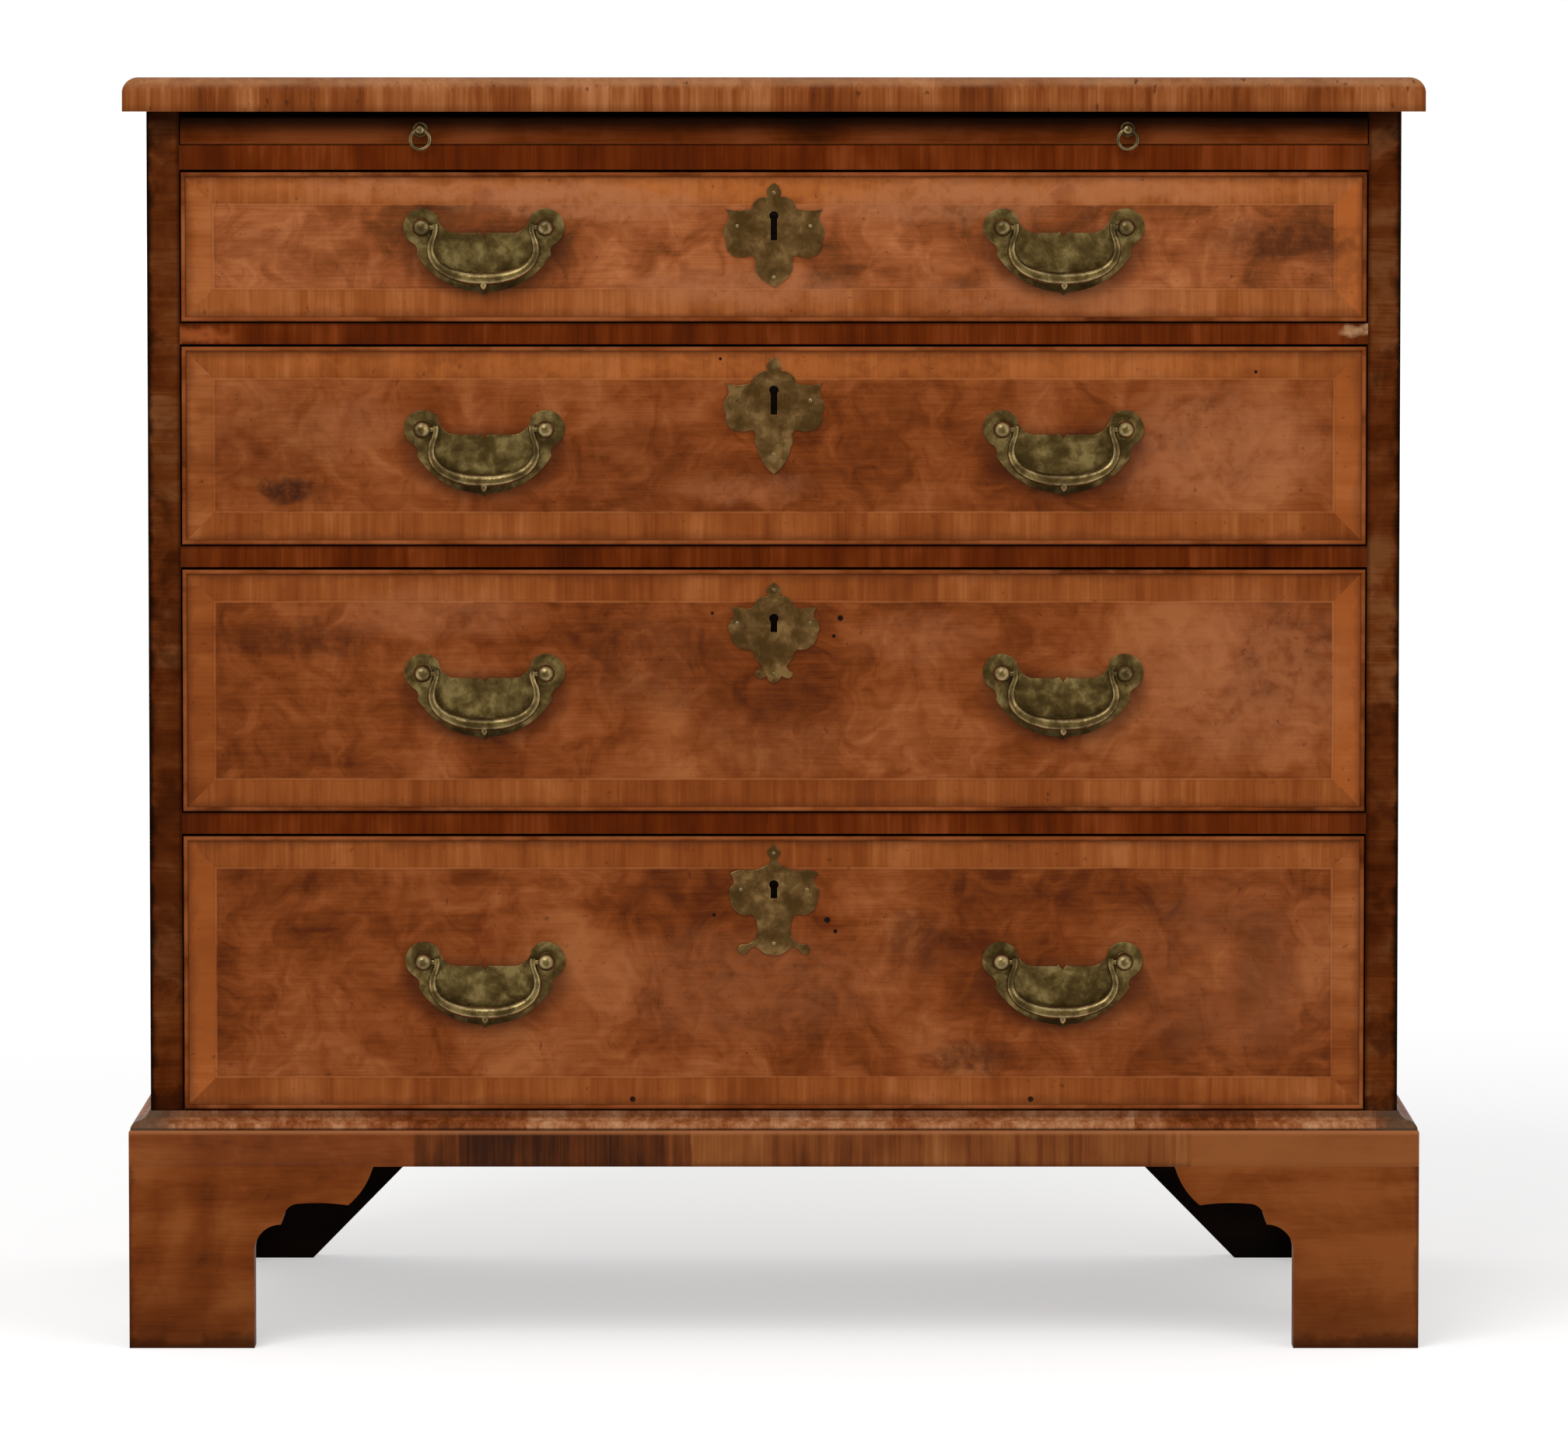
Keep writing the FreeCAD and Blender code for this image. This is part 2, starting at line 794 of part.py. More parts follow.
def make_foot_blocks():
    """Square blocks glued inside the four corners of the feet."""
    outer = half_plinth - size.bracket_thickness
    front = plinth_front + size.bracket_thickness
    back = case_back - size.rear_board_thickness
    blocks = []
    for side, name in ((-1, "left"), (1, "right")):
        block = new_body(f"foot_blocks_{name}")
        plans = [
            sided(rectangle(outer - size.foot_block, front, outer, front + size.foot_block), side),
            sided(rectangle(outer - size.foot_block, back - size.foot_block, outer, back), side),
        ]
        add_solid(block, "Z", plans, size.foot_block_lift, size.foot_height)
        blocks.append(block)
    add_node("foot_blocks", blocks)


# ---------------------------------------------------------------------------
# Brushing slide
# ---------------------------------------------------------------------------

slide_low = slide_floor + size.running_gap
slide_high = slide_low + size.slide_thickness
slide_half = case_inner - size.slide_side_gap
slide_back = inside_back - size.slide_back_clearance
ring_pivot_level = slide_low + size.ring_lift


def make_slide():
    """The slide: a panel clamped between two cleats, with a beaded front edge."""
    edge = new_body("slide_front_edge")
    edge_back = case_front + size.slide_edge_width
    face = rectangle(-slide_half, slide_low, slide_half, slide_high)
    add_solid(edge, "Y", [face], case_front, edge_back)
    holes = [(size.ring_spacing / 2 * side, ring_pivot_level, size.ring_shank_radius) for side in (-1, 1)]
    cut_solid(edge, "Y", holes, case_front, case_front + size.ring_shank_length)
    round_edges(edge, size.slide_bead, lambda mid: near(mid.x, 0) and near(mid.y, case_front))
    pieces = [edge]
    cleat_inner = slide_half - size.slide_cleat_width
    for side, name in ((-1, "left"), (1, "right")):
        cleat = new_body(f"slide_cleat_{name}")
        plan = rectangle(cleat_inner, edge_back, slide_half, slide_back)
        add_solid(cleat, "Z", [sided(plan, side)], slide_low, slide_high)
        pieces.append(cleat)
    panel = new_body("slide_panel")
    plan = rectangle(-cleat_inner, edge_back, cleat_inner, slide_back)
    add_solid(panel, "Z", [plan], slide_low, slide_high)
    pieces.append(panel)
    add_node("brushing_slide", pieces)


def make_slide_rings():
    """The two ring pulls: turned posts with a drilled ball, and rings that hang through them."""
    posts = []
    standoff = size.ring_post_standoff
    ball = size.ring_ball_radius
    neck = size.ring_neck_radius
    neck_end = square_root(ball * ball - neck * neck)
    profile = [
        (0, -ball, ball),
        (ball, 0, ball),
        (neck, neck_end),
        (neck, standoff - size.ring_rose_thickness),
        (size.ring_rose_radius, standoff - size.ring_rose_thickness),
        (size.ring_rose_radius, standoff),
        (size.ring_shank_radius, standoff),
        (size.ring_shank_radius, standoff + size.ring_shank_length),
        (0, standoff + size.ring_shank_length),
    ]
    for side, name in ((-1, "left"), (1, "right")):
        middle = size.ring_spacing / 2 * side
        post = new_body(f"slide_ring_post_{name}")
        revolve(post, "Z", [profile])
        cut_solid(post, "X", [(0, 0, size.ring_hole_radius)], -ball, ball)
        place(post, middle, case_front - standoff, ring_pivot_level)
        posts.append(post)
        ring = new_body(f"slide_ring_{name}")
        revolve(ring, "Z", [(size.ring_radius, 0, size.ring_wire)])
        place(ring, middle, case_front - standoff, ring_pivot_level - size.ring_radius)
        add_node(ring.Label, [ring])
    add_node("slide_ring_posts", posts)


# ---------------------------------------------------------------------------
# Drawers
# ---------------------------------------------------------------------------

drawer_half = case_inner - size.drawer_side_gap
front_back = case_front + size.front_thickness
drawer_rear = inside_back - size.drawer_back_clearance
side_inner = drawer_half - size.drawer_side_thickness
back_front = drawer_rear - size.drawer_back_thickness


def drawer_levels(number):
    """The heights that the pieces of one drawer share."""
    floor = floors[number]
    opening = OPENINGS[number]
    side_low = floor + size.running_gap
    bottom_low = side_low + size.drawer_bottom_lift
    bottom_high = bottom_low + size.drawer_bottom_thickness
    side_high = floor + opening - size.side_drop
    front_high = floor + opening - size.drawer_top_gap
    return SimpleNamespace(
        front_low=floor + size.drawer_front_lift,
        front_high=front_high,
        side_low=side_low,
        side_high=side_high,
        bottom_low=bottom_low,
        bottom_high=bottom_high,
        back_high=side_high - size.back_drop,
        keyhole=front_high - size.keyhole_drop,
        handle=floor + HANDLE_LIFTS[number],
    )


def tail_outlines(root, tip, low, high, count, clearance=0):
    """Dovetails between two heights: trapezoids that widen from their root to their tip.

    The sockets for them are the same outlines, wider by a clearance on each flank.
    """
    flare = (tip - root) / size.tail_slope
    if flare.value < 0:
        flare = -flare
    pitch = (high - low) / count
    root_half = pitch * size.tail_share + clearance
    tip_half = root_half + flare
    tails = []
    for index in range(count):
        middle = low + pitch * (index + 0.5)
        tails.append([
            (root, middle - root_half),
            (tip, middle - tip_half),
            (tip, middle + tip_half),
            (root, middle + root_half),
        ])
    return tails


def keyhole_outline(centre, height):
    """A round head over a straight slot, about a centre height."""
    radius = size.keyhole_radius
    half_slot = size.keyhole_slot / 2
    head = centre + height / 2 - radius
    shoulder = head - square_root(radius * radius - half_slot * half_slot)
    foot = centre - height / 2
    return [
        (-half_slot, foot),
        (half_slot, foot),
        (half_slot, shoulder, radius),
        (0, head + radius, radius),
        (-half_slot, shoulder),
    ]


def front_tails(number, levels, clearance=0):
    tip = case_front + size.cockbead_depth + size.lap
    low, high = levels.side_low, levels.side_high
    return tail_outlines(front_back, tip, low, high, TAIL_COUNTS[number], clearance)


def back_tails(number, levels, clearance=0):
    low, high = levels.bottom_high, levels.back_high
    return tail_outlines(back_front, drawer_rear, low, high, TAIL_COUNTS[number], clearance)


def make_drawer_front(number, name, levels):
    body = new_body(f"{name}_front")
    bead = size.cockbead_thickness
    rebate_back = case_front + size.cockbead_depth
    field = rectangle(
        bead - drawer_half, levels.front_low + bead, drawer_half - bead, levels.front_high - bead)
    add_solid(body, "Y", [field], case_front, front_back)
    full = rectangle(-drawer_half, levels.front_low, drawer_half, levels.front_high)
    add_solid(body, "Y", [full], rebate_back, front_back)
    sockets = front_tails(number, levels, size.tail_clearance)
    cut_solid(body, "X", sockets, side_inner, drawer_half)
    cut_solid(body, "X", sockets, -drawer_half, -side_inner)
    groove = rectangle(-side_inner, levels.bottom_low, side_inner, levels.bottom_high)
    cut_solid(body, "Y", [groove], front_back - size.drawer_groove, front_back)
    half_lock = size.lock_width / 2
    lock_low = levels.front_high - size.lock_height
    mortise = rectangle(-half_lock, lock_low, half_lock, levels.front_high)
    cut_solid(body, "Y", [mortise], front_back - size.lock_thickness, front_back)
    openings = [keyhole_outline(levels.keyhole, KEYHOLE_HEIGHTS[number])]
    for middle in (-1, 1):
        for post in (-1, 1):
            across = size.handle_spacing / 2 * middle + size.post_pitch / 2 * post
            openings.append((across, levels.handle, size.shank_radius))
    cut_solid(body, "Y", openings, case_front, front_back)
    add_node(body.Label, [body])


def make_drawer_box(number, name, levels):
    """The two sides and the back, dovetailed together, and the bottom in its grooves."""
    pieces = []
    lower_edge = rectangle(back_front, levels.side_low, drawer_rear, levels.bottom_high)
    for side, word in ((-1, "left"), (1, "right")):
        flank = new_body(f"{name}_side_{word}")
        span = sided_span(side, side_inner, drawer_half)
        face = rectangle(front_back, levels.side_low, back_front, levels.side_high)
        add_solid(flank, "X", [face], *span)
        tails = front_tails(number, levels) + back_tails(number, levels)
        add_solid(flank, "X", tails + [lower_edge], *span)
        groove = rectangle(front_back, levels.bottom_low, drawer_rear, levels.bottom_high)
        cut_solid(flank, "X", [groove], *sided_span(side, side_inner, side_inner + size.drawer_groove))
        pieces.append(flank)
    back = new_body(f"{name}_back")
    face = rectangle(-drawer_half, levels.bottom_high, drawer_half, levels.back_high)
    add_solid(back, "Y", [face], back_front, drawer_rear)
    sockets = back_tails(number, levels, size.tail_clearance)
    cut_solid(back, "X", sockets, side_inner, drawer_half)
    cut_solid(back, "X", sockets, -drawer_half, -side_inner)
    pieces.append(back)
    add_node(f"{name}_sides_and_back", pieces)

    bottom = new_body(f"{name}_bottom")
    groove_end = side_inner + size.drawer_groove
    tongue = front_back - size.drawer_groove
    plan = [
        (side_inner, tongue),
        (side_inner, front_back),
        (groove_end, front_back),
        (groove_end, drawer_rear),
    ]
    add_solid(bottom, "Z", [plan + mirrored(plan)[::-1]], levels.bottom_low, levels.bottom_high)
    add_node(bottom.Label, [bottom])


def make_cockbeads(name, levels):
    """Four mitred beads with half-round noses, let into the edges of the drawer front."""
    bead = size.cockbead_thickness
    nose = case_front - size.cockbead_proud
    tail = case_front + size.cockbead_depth
    low, high, half = levels.front_low, levels.front_high, drawer_half
    corner_waste = {
        "top": [(half, high), (half - bead, high - bead), (half, high - bead)],
        "bottom": [(half, low), (half, low + bead), (half - bead, low + bead)],
        "side top": [(half, high), (half - bead, high), (half - bead, high - bead)],
        "side bottom": [(half, low), (half - bead, low + bead), (half - bead, low)],
    }
    strips = []
    for word, edge in (("top", high - bead), ("bottom", low)):
        strip = new_body(f"{name}_cockbead_{word}")
        add_solid(strip, "X", [swapped(nosed_section(edge, edge + bead, nose, tail))], -half, half)
        waste = corner_waste[word]
        cut_solid(strip, "Y", [waste, mirrored(waste)], nose, tail)
        strips.append(strip)
    for side, word in ((-1, "left"), (1, "right")):
        strip = new_body(f"{name}_cockbead_{word}")
        section = nosed_section(half - bead, half, nose, tail)
        add_solid(strip, "Z", [sided(section, side)], low, high)
        wastes = [sided(corner_waste["side top"], side), sided(corner_waste["side bottom"], side)]
        cut_solid(strip, "Y", wastes, nose, tail)
        strips.append(strip)
    add_node(f"{name}_cockbeads", strips)


def make_lock(name, levels):
    """The lock case in its mortise, and the bolt that rises out of it."""
    case = new_body(f"{name}_lock_case")
    half_lock = size.lock_width / 2
    lock_front = front_back - size.lock_thickness
    face = rectangle(-half_lock, levels.front_high - size.lock_height, half_lock, levels.front_high)
    add_solid(case, "Y", [face], lock_front, front_back)
    slot_half = size.bolt_width / 2 + size.bolt_clearance
    slot_reach = size.bolt_thickness / 2 + size.bolt_clearance
    slot = rectangle(-slot_half, bolt_line - slot_reach, slot_half, bolt_line + slot_reach)
    bolt_low = levels.front_high - size.bolt_height
    cut_solid(case, "Z", [slot], bolt_low - size.bolt_clearance, levels.front_high)
    key_slot = keyhole_outline(levels.keyhole, size.lower_keyhole_height)
    cut_solid(case, "Y", [key_slot], lock_front, lock_front + size.keyhole_lock_depth)
    add_node(case.Label, [case])

    bolt = new_body(f"{name}_lock_bolt")
    bolt_half = size.bolt_width / 2
    bolt_reach = size.bolt_thickness / 2
    plan = rectangle(-bolt_half, bolt_line - bolt_reach, bolt_half, bolt_line + bolt_reach)
    add_solid(bolt, "Z", [plan], bolt_low, levels.front_high)
    add_node(bolt.Label, [bolt])


# ---------------------------------------------------------------------------
# Brasses
# ---------------------------------------------------------------------------

# Half outlines of the escutcheons, from the top tip down the right side to the lowest point:
# distance from the middle, height over the keyhole's centre and turn of the edge that follows.
LEAF_SHIELD = [
    (0, 26.5, -9.0),
    (4.5, 21.2, -3.2),
    (3.1, 18.0),
    (6.6, 17.8, -9.5),
    (12.8, 13.6, -3.6),
    (13.2, 10.8, 26.0),
    (30.2, 10.6, 7.0),
    (28.4, 2.6, -9.0),
    (29.4, -8.8, -8.0),
    (22.4, -19.0, -14.0),
    (14.0, -18.2, 3.6),
    (11.2, -22.6, -7.5),
    (10.2, -29.2, -24.0),
]
CROWNED_SHIELD = [
    (0, 25.0, -9.0),
    (4.7, 19.8, -3.4),
    (3.0, 16.6),
    (5.8, 16.6, -8.5),
    (11.6, 12.4, 5.5),
    (17.0, 8.6, -14.0),
    (26.6, 9.2, 5.0),
    (25.2, 2.6, -6.5),
    (26.8, -6.6, -10.0),
    (20.4, -15.8, -12.0),
    (14.4, -16.4, 5.4),
    (11.8, -21.2),
    (7.6, -26.8, 4.6),
    (11.2, -30.2, -2.8),
    (7.2, -33.8),
    (4.4, -32.8, -6.5),
]
BANDED_SHIELD = [
    (0, 28.4),
    (4.4, 23.2),
    (1.7, 18.2),
    (4.2, 15.4, 22.0),
    (15.8, 11.6, -14.0),
    (27.6, 9.6, 4.8),
    (25.4, 2.8, -6.5),
    (26.6, -6.2, -8.0),
    (23.0, -14.0, -8.0),
    (14.2, -15.4, 7.0),
    (10.6, -21.0),
    (9.8, -25.2),
    (10.8, -26.0),
    (10.8, -28.6, 8.0),
    (18.6, -34.2, -3.15),
    (21.3, -39.6, -3.15),
    (16.6, -38.7, 5.0),
    (9.6, -36.6, -12.0),
]
# The outline and the lowest point of each drawer's escutcheon.
SHIELDS = [
    (LEAF_SHIELD, -37.5),
    (LEAF_SHIELD, -45.5),
    (CROWNED_SHIELD, -37.5),
    (BANDED_SHIELD, -41.0),
]


def whole_outline(half):
    """Close a half outline that starts and ends on the middle line with its mirror image."""
    left = []
    for index in range(len(half) - 1, 0, -1):
        across, up = half[index][:2]
        left.append((-across, up) + half[index - 1][2:])
    return half[:-1] + left


def make_escutcheon(number, name, levels):
    body = new_body(f"{name}_escutcheon")
    half, lowest = SHIELDS[number]
    outline = [(corner[0], levels.keyhole + corner[1]) + corner[2:] for corner in half]
    outline.append((0, levels.keyhole + lowest))
    face_front = case_front - size.escutcheon_thickness
    add_solid(body, "Y", [whole_outline(outline)], face_front, case_front)
    keyhole = keyhole_outline(levels.keyhole, KEYHOLE_HEIGHTS[number])
    cut_solid(body, "Y", [keyhole], face_front, case_front)
    add_node(body.Label, [body])


def plate_outline():
    """Half outline of the handle's back plate about the middle of its posts, from the top down.

    A nick in the middle of the waist, the round ear about the post, the long sweep below and the tail.
    """
    ear = size.ear_radius
    post = size.post_pitch / 2
    waist = -size.plate_waist_drop
    nick = size.plate_nick_width
    sweep = size.plate_sweep
    sweep_centre = sweep - size.plate_drop
    corner = post + size.plate_corner_width
    corner_up = sweep_centre - square_root(sweep * sweep - corner * corner)
    tail = size.plate_tail_width
    tail_up = sweep_centre - square_root(sweep * sweep - tail * tail)
    return [
        (0, -size.plate_nick_drop),
        (nick, waist + size.plate_nick_lip, size.plate_nick_radius),
        (nick + size.plate_nick_radius * 1.25, waist),
        (post - size.plate_waist_end, waist, size.plate_waist_radius),
        (post - ear * 0.8, ear * 0.6, -ear),
        (post, ear, -ear),
        (post + ear, 0, -ear),
        (post + ear * math.cos(math.pi / 3), -ear * math.sin(math.pi / 3), size.plate_ear_hollow),
        (corner, corner_up, -sweep),
        (tail, tail_up, size.plate_tail_radius),
        (0, tail_up - size.plate_tail_drop),
    ]


def make_handle_mounts(name, levels):
    """Back plates, ball-headed posts and nuts of both handles of a drawer."""
    ball = size.ball_radius
    neck = size.post_neck_radius
    neck_start = square_root(ball * ball - neck * neck)
    plate_face = size.post_standoff - size.plate_thickness
    shank_tip = size.post_standoff + size.front_thickness + size.nut_thickness + size.shank_end
    post_profile = [
        (0, -ball, ball),
        (ball, 0, ball),
        (neck, neck_start),
        (neck, plate_face - size.post_collar_thickness),
        (size.post_collar_radius, plate_face - size.post_collar_thickness),
        (size.post_collar_radius, plate_face),
        (size.shank_radius, plate_face),
        (size.shank_radius, shank_tip),
        (0, shank_tip),
    ]
    hinge_line = case_front - size.post_standoff
    half_nut = size.nut_width / 2
    pieces = []
    for handle, word in ((-1, "left"), (1, "right")):
        middle = size.handle_spacing / 2 * handle
        plate = new_body(f"{name}_{word}_plate")
        add_solid(plate, "Y", [whole_outline(plate_outline())], -size.plate_thickness, 0)
        holes = [(size.post_pitch / 2 * post, 0, size.shank_radius) for post in (-1, 1)]
        cut_solid(plate, "Y", holes, -size.plate_thickness, 0)
        place(plate, middle, case_front, levels.handle)
        pieces.append(plate)
        for post_side, post_word in ((-1, "outer"), (1, "inner")):
            post = new_body(f"{name}_{word}_post_{post_word}")
            revolve(post, "Z", [post_profile])
            bore = (0, 0, size.pintle_radius + size.pintle_clearance)
            depth = size.pintle_insertion - ball + size.pintle_clearance
            low, high = (-ball, depth) if post_side > 0 else (-depth, ball)
            cut_solid(post, "X", [bore], low, high)
            across = middle + size.post_pitch / 2 * post_side
            place(post, across, hinge_line, levels.handle)
            pieces.append(post)
            nut = new_body(f"{name}_{word}_nut_{post_word}")
            square = rectangle(-half_nut, -half_nut, half_nut, half_nut)
            add_solid(nut, "Y", [square], 0, size.nut_thickness)
            cut_solid(nut, "Y", [(0, 0, size.shank_radius)], 0, size.nut_thickness)
            place(nut, across, front_back, levels.handle)
            pieces.append(nut)
    add_node(f"{name}_handle_mounts", pieces)


# Course of a bail's half from below its pivot to the middle of the grip: distance from the
# middle as a share of the arm's, depth as a share of the drop and swelling as a share of the whole.
BAIL_COURSE = [
    (1.044, 0.21, 0.0),
    (1.087, 0.38, 0.12),
    (1.054, 0.58, 0.3),
    (0.893, 0.78, 0.52),
    (0.62, 0.915, 0.78),
    (0.3, 0.985, 0.95),
    (0.0, 1.0, 1.0),
]


def bail_stations():
    """Centres and radii along one half of a bail, from its top end to the middle of the grip."""
    end = size.bail_end_radius
    arm = size.post_pitch / 2 - size.ball_radius - size.bail_gap - end
    swell = size.bail_middle_radius - end
    stations = [(arm, end, end), (arm, -end, end)]
    for across, down, swelling in BAIL_COURSE:
        stations.append((arm * across, -size.bail_drop * down, end + swell * swelling))
    return stations


def finial_profile():
    """Half section of the small drop under the grip, which starts inside the bar."""
    grip = -size.bail_drop - size.bail_middle_radius
    seat = grip + size.finial_seat
    tip = grip - size.finial_length
    return [
        (0, seat),
        (size.finial_radius, seat),
        (size.finial_neck_radius, grip - size.finial_neck_drop, -size.finial_rounding),
        (size.finial_tip_radius, tip),
        (0, tip),
    ]


def make_bail(label, handle, levels):
    """The swinging grip: a swelling bar lofted through round sections, with a pintle at each end."""
    body = new_body(label)
    half = bail_stations()
    stations = [(-across, up, radius) for across, up, radius in half] + half[-2::-1]
    sections = []
    for index, (across, up, radius) in enumerate(stations):
        before = stations[max(index - 1, 0)]
        after = stations[min(index + 1, len(stations) - 1)]
        sketch = new_sketch(body, "X")
        bind(sketch, "AttachmentOffset.Base.y", up)
        bind(sketch, "AttachmentOffset.Base.z", across)
        offset = sketch.AttachmentOffset
        turn = -heading(after[0] - before[0], after[1] - before[1])
        offset.Rotation = FreeCAD.Rotation(FreeCAD.Vector(1, 0, 0), turn)
        sketch.AttachmentOffset = offset
        draw_circle(sketch, 0, 0, radius)
        sections.append(sketch)
    loft = body.newObject("PartDesign::AdditiveLoft", "Loft")
    loft.Profile = sections[0]
    loft.Sections = sections[1:]
    arm = half[0][0]
    reach = size.post_pitch / 2 - size.ball_radius + size.pintle_insertion
    pintle = [(0, 0, size.pintle_radius)]
    add_solid(body, "X", pintle, arm, reach)
    add_solid(body, "X", pintle, -reach, -arm)
    revolve(body, "Y", [finial_profile()])
    middle = size.handle_spacing / 2 * handle
    place(body, middle, case_front - size.post_standoff, levels.handle)
    add_node(label, [body])


def make_drawer(number):
    name = f"drawer_{number + 1}"
    levels = drawer_levels(number)
    make_drawer_front(number, name, levels)
    make_drawer_box(number, name, levels)
    make_cockbeads(name, levels)
    make_lock(name, levels)
    make_escutcheon(number, name, levels)
    make_handle_mounts(name, levels)
    for handle, word in ((-1, "left"), (1, "right")):
        make_bail(f"{name}_bail_{word}", handle, levels)


# ---------------------------------------------------------------------------
# Assembly
# ---------------------------------------------------------------------------

make_top()
for side, name in ((-1, "left"), (1, "right")):
    make_case_side(side, name)
    make_front_foot(side, name)
    make_rear_foot(side, name)
make_case_bottom()
make_shelves()
make_back_boards()
make_drawer_stops()
make_plinth()
make_base_moulding()
make_foot_blocks()
make_slide()
make_slide_rings()
for number in range(len(OPENINGS)):
    make_drawer(number)
document.recompute()

failed = [item.Name for item in document.Objects if "Invalid" in item.State or "Error" in item.State]
if failed:
    raise RuntimeError("these objects failed: " + ", ".join(failed))
for body, before, pocket in cuts:
    if pocket.Shape.Volume > before.Shape.Volume - SMALLEST_CUT:
        raise RuntimeError(f"{body.Label}: {pocket.Name} cuts nothing")
for node in nodes:
    if node.Shape.isNull() or not node.Shape.isValid():
        raise RuntimeError(f"{node.Label} has no valid shape")

os.makedirs("parts", exist_ok=True)
for node in nodes:
    node.Shape.exportStep(f"parts/{node.Label}.step")
print(f"{len(nodes)} nodes, {sum(len(node.Shape.Solids) for node in nodes)} solids")
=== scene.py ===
"""Finish, light and camera for the walnut bachelors chest; lengths are metres in the CAD frame."""

import json
import math

import bmesh
import bpy
from mathutils import Matrix, Vector

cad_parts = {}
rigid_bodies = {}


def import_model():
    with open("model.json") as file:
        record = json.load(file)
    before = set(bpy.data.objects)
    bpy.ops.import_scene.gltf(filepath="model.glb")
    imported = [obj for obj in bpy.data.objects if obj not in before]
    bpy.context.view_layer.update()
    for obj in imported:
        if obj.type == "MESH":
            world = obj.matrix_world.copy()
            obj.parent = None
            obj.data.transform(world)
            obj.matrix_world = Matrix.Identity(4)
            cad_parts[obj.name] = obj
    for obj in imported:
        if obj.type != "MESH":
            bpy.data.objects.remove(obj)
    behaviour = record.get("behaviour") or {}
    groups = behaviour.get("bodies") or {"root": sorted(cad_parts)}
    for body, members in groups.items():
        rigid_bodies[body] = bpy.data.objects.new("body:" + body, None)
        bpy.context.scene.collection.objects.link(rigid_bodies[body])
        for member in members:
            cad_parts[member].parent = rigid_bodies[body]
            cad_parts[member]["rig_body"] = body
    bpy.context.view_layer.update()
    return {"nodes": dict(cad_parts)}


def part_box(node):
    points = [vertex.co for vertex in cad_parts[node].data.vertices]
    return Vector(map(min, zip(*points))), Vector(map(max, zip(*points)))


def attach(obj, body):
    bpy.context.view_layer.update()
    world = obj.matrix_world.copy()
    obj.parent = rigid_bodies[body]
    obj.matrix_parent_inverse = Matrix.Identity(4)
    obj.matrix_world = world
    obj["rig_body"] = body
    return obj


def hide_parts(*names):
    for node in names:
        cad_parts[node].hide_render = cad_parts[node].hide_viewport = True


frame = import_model()
NODES = frame["nodes"]
DRAWERS = (1, 2, 3, 4)

# ---- Shader helpers ----


def srgb(red, green, blue):
    """A displayed colour, 0 to 255, as a linear shader colour."""
    linear = []
    for channel in (red, green, blue):
        share = channel / 255
        linear.append(share / 12.92 if share <= 0.04045 else ((share + 0.055) / 1.055) ** 2.4)
    return (*linear, 1.0)


class Nodes:
    """The node tree of a material or a world, emptied to be built up again."""

    def __init__(self, owner):
        owner.use_nodes = True
        self.tree = owner.node_tree
        self.tree.nodes.clear()

    def add(self, kind, **settings):
        """A new shader node of the kind, with its settings."""
        node = self.tree.nodes.new("ShaderNode" + kind)
        for name, value in settings.items():
            setattr(node, name, value)
        return node

    def feed(self, socket, value):
        """Link an output to a socket, or set the socket to a plain value."""
        if isinstance(value, bpy.types.NodeSocket):
            self.tree.links.new(value, socket)
        else:
            socket.default_value = value

    def math(self, operation, *values, clamp=False):
        """The result of an operation on outputs or plain numbers."""
        node = self.add("Math", operation=operation, use_clamp=clamp)
        for socket, value in zip(node.inputs, values):
            self.feed(socket, value)
        return node.outputs[0]

    def seen_ray(self):
        """One for rays that show a surface to the camera, straight or by a mirror or glass."""
        rays = self.add("LightPath").outputs
        mirrored = self.math("MAXIMUM", rays["Is Glossy Ray"], rays["Is Transmission Ray"])
        return self.math("MAXIMUM", rays["Is Camera Ray"], mirrored)


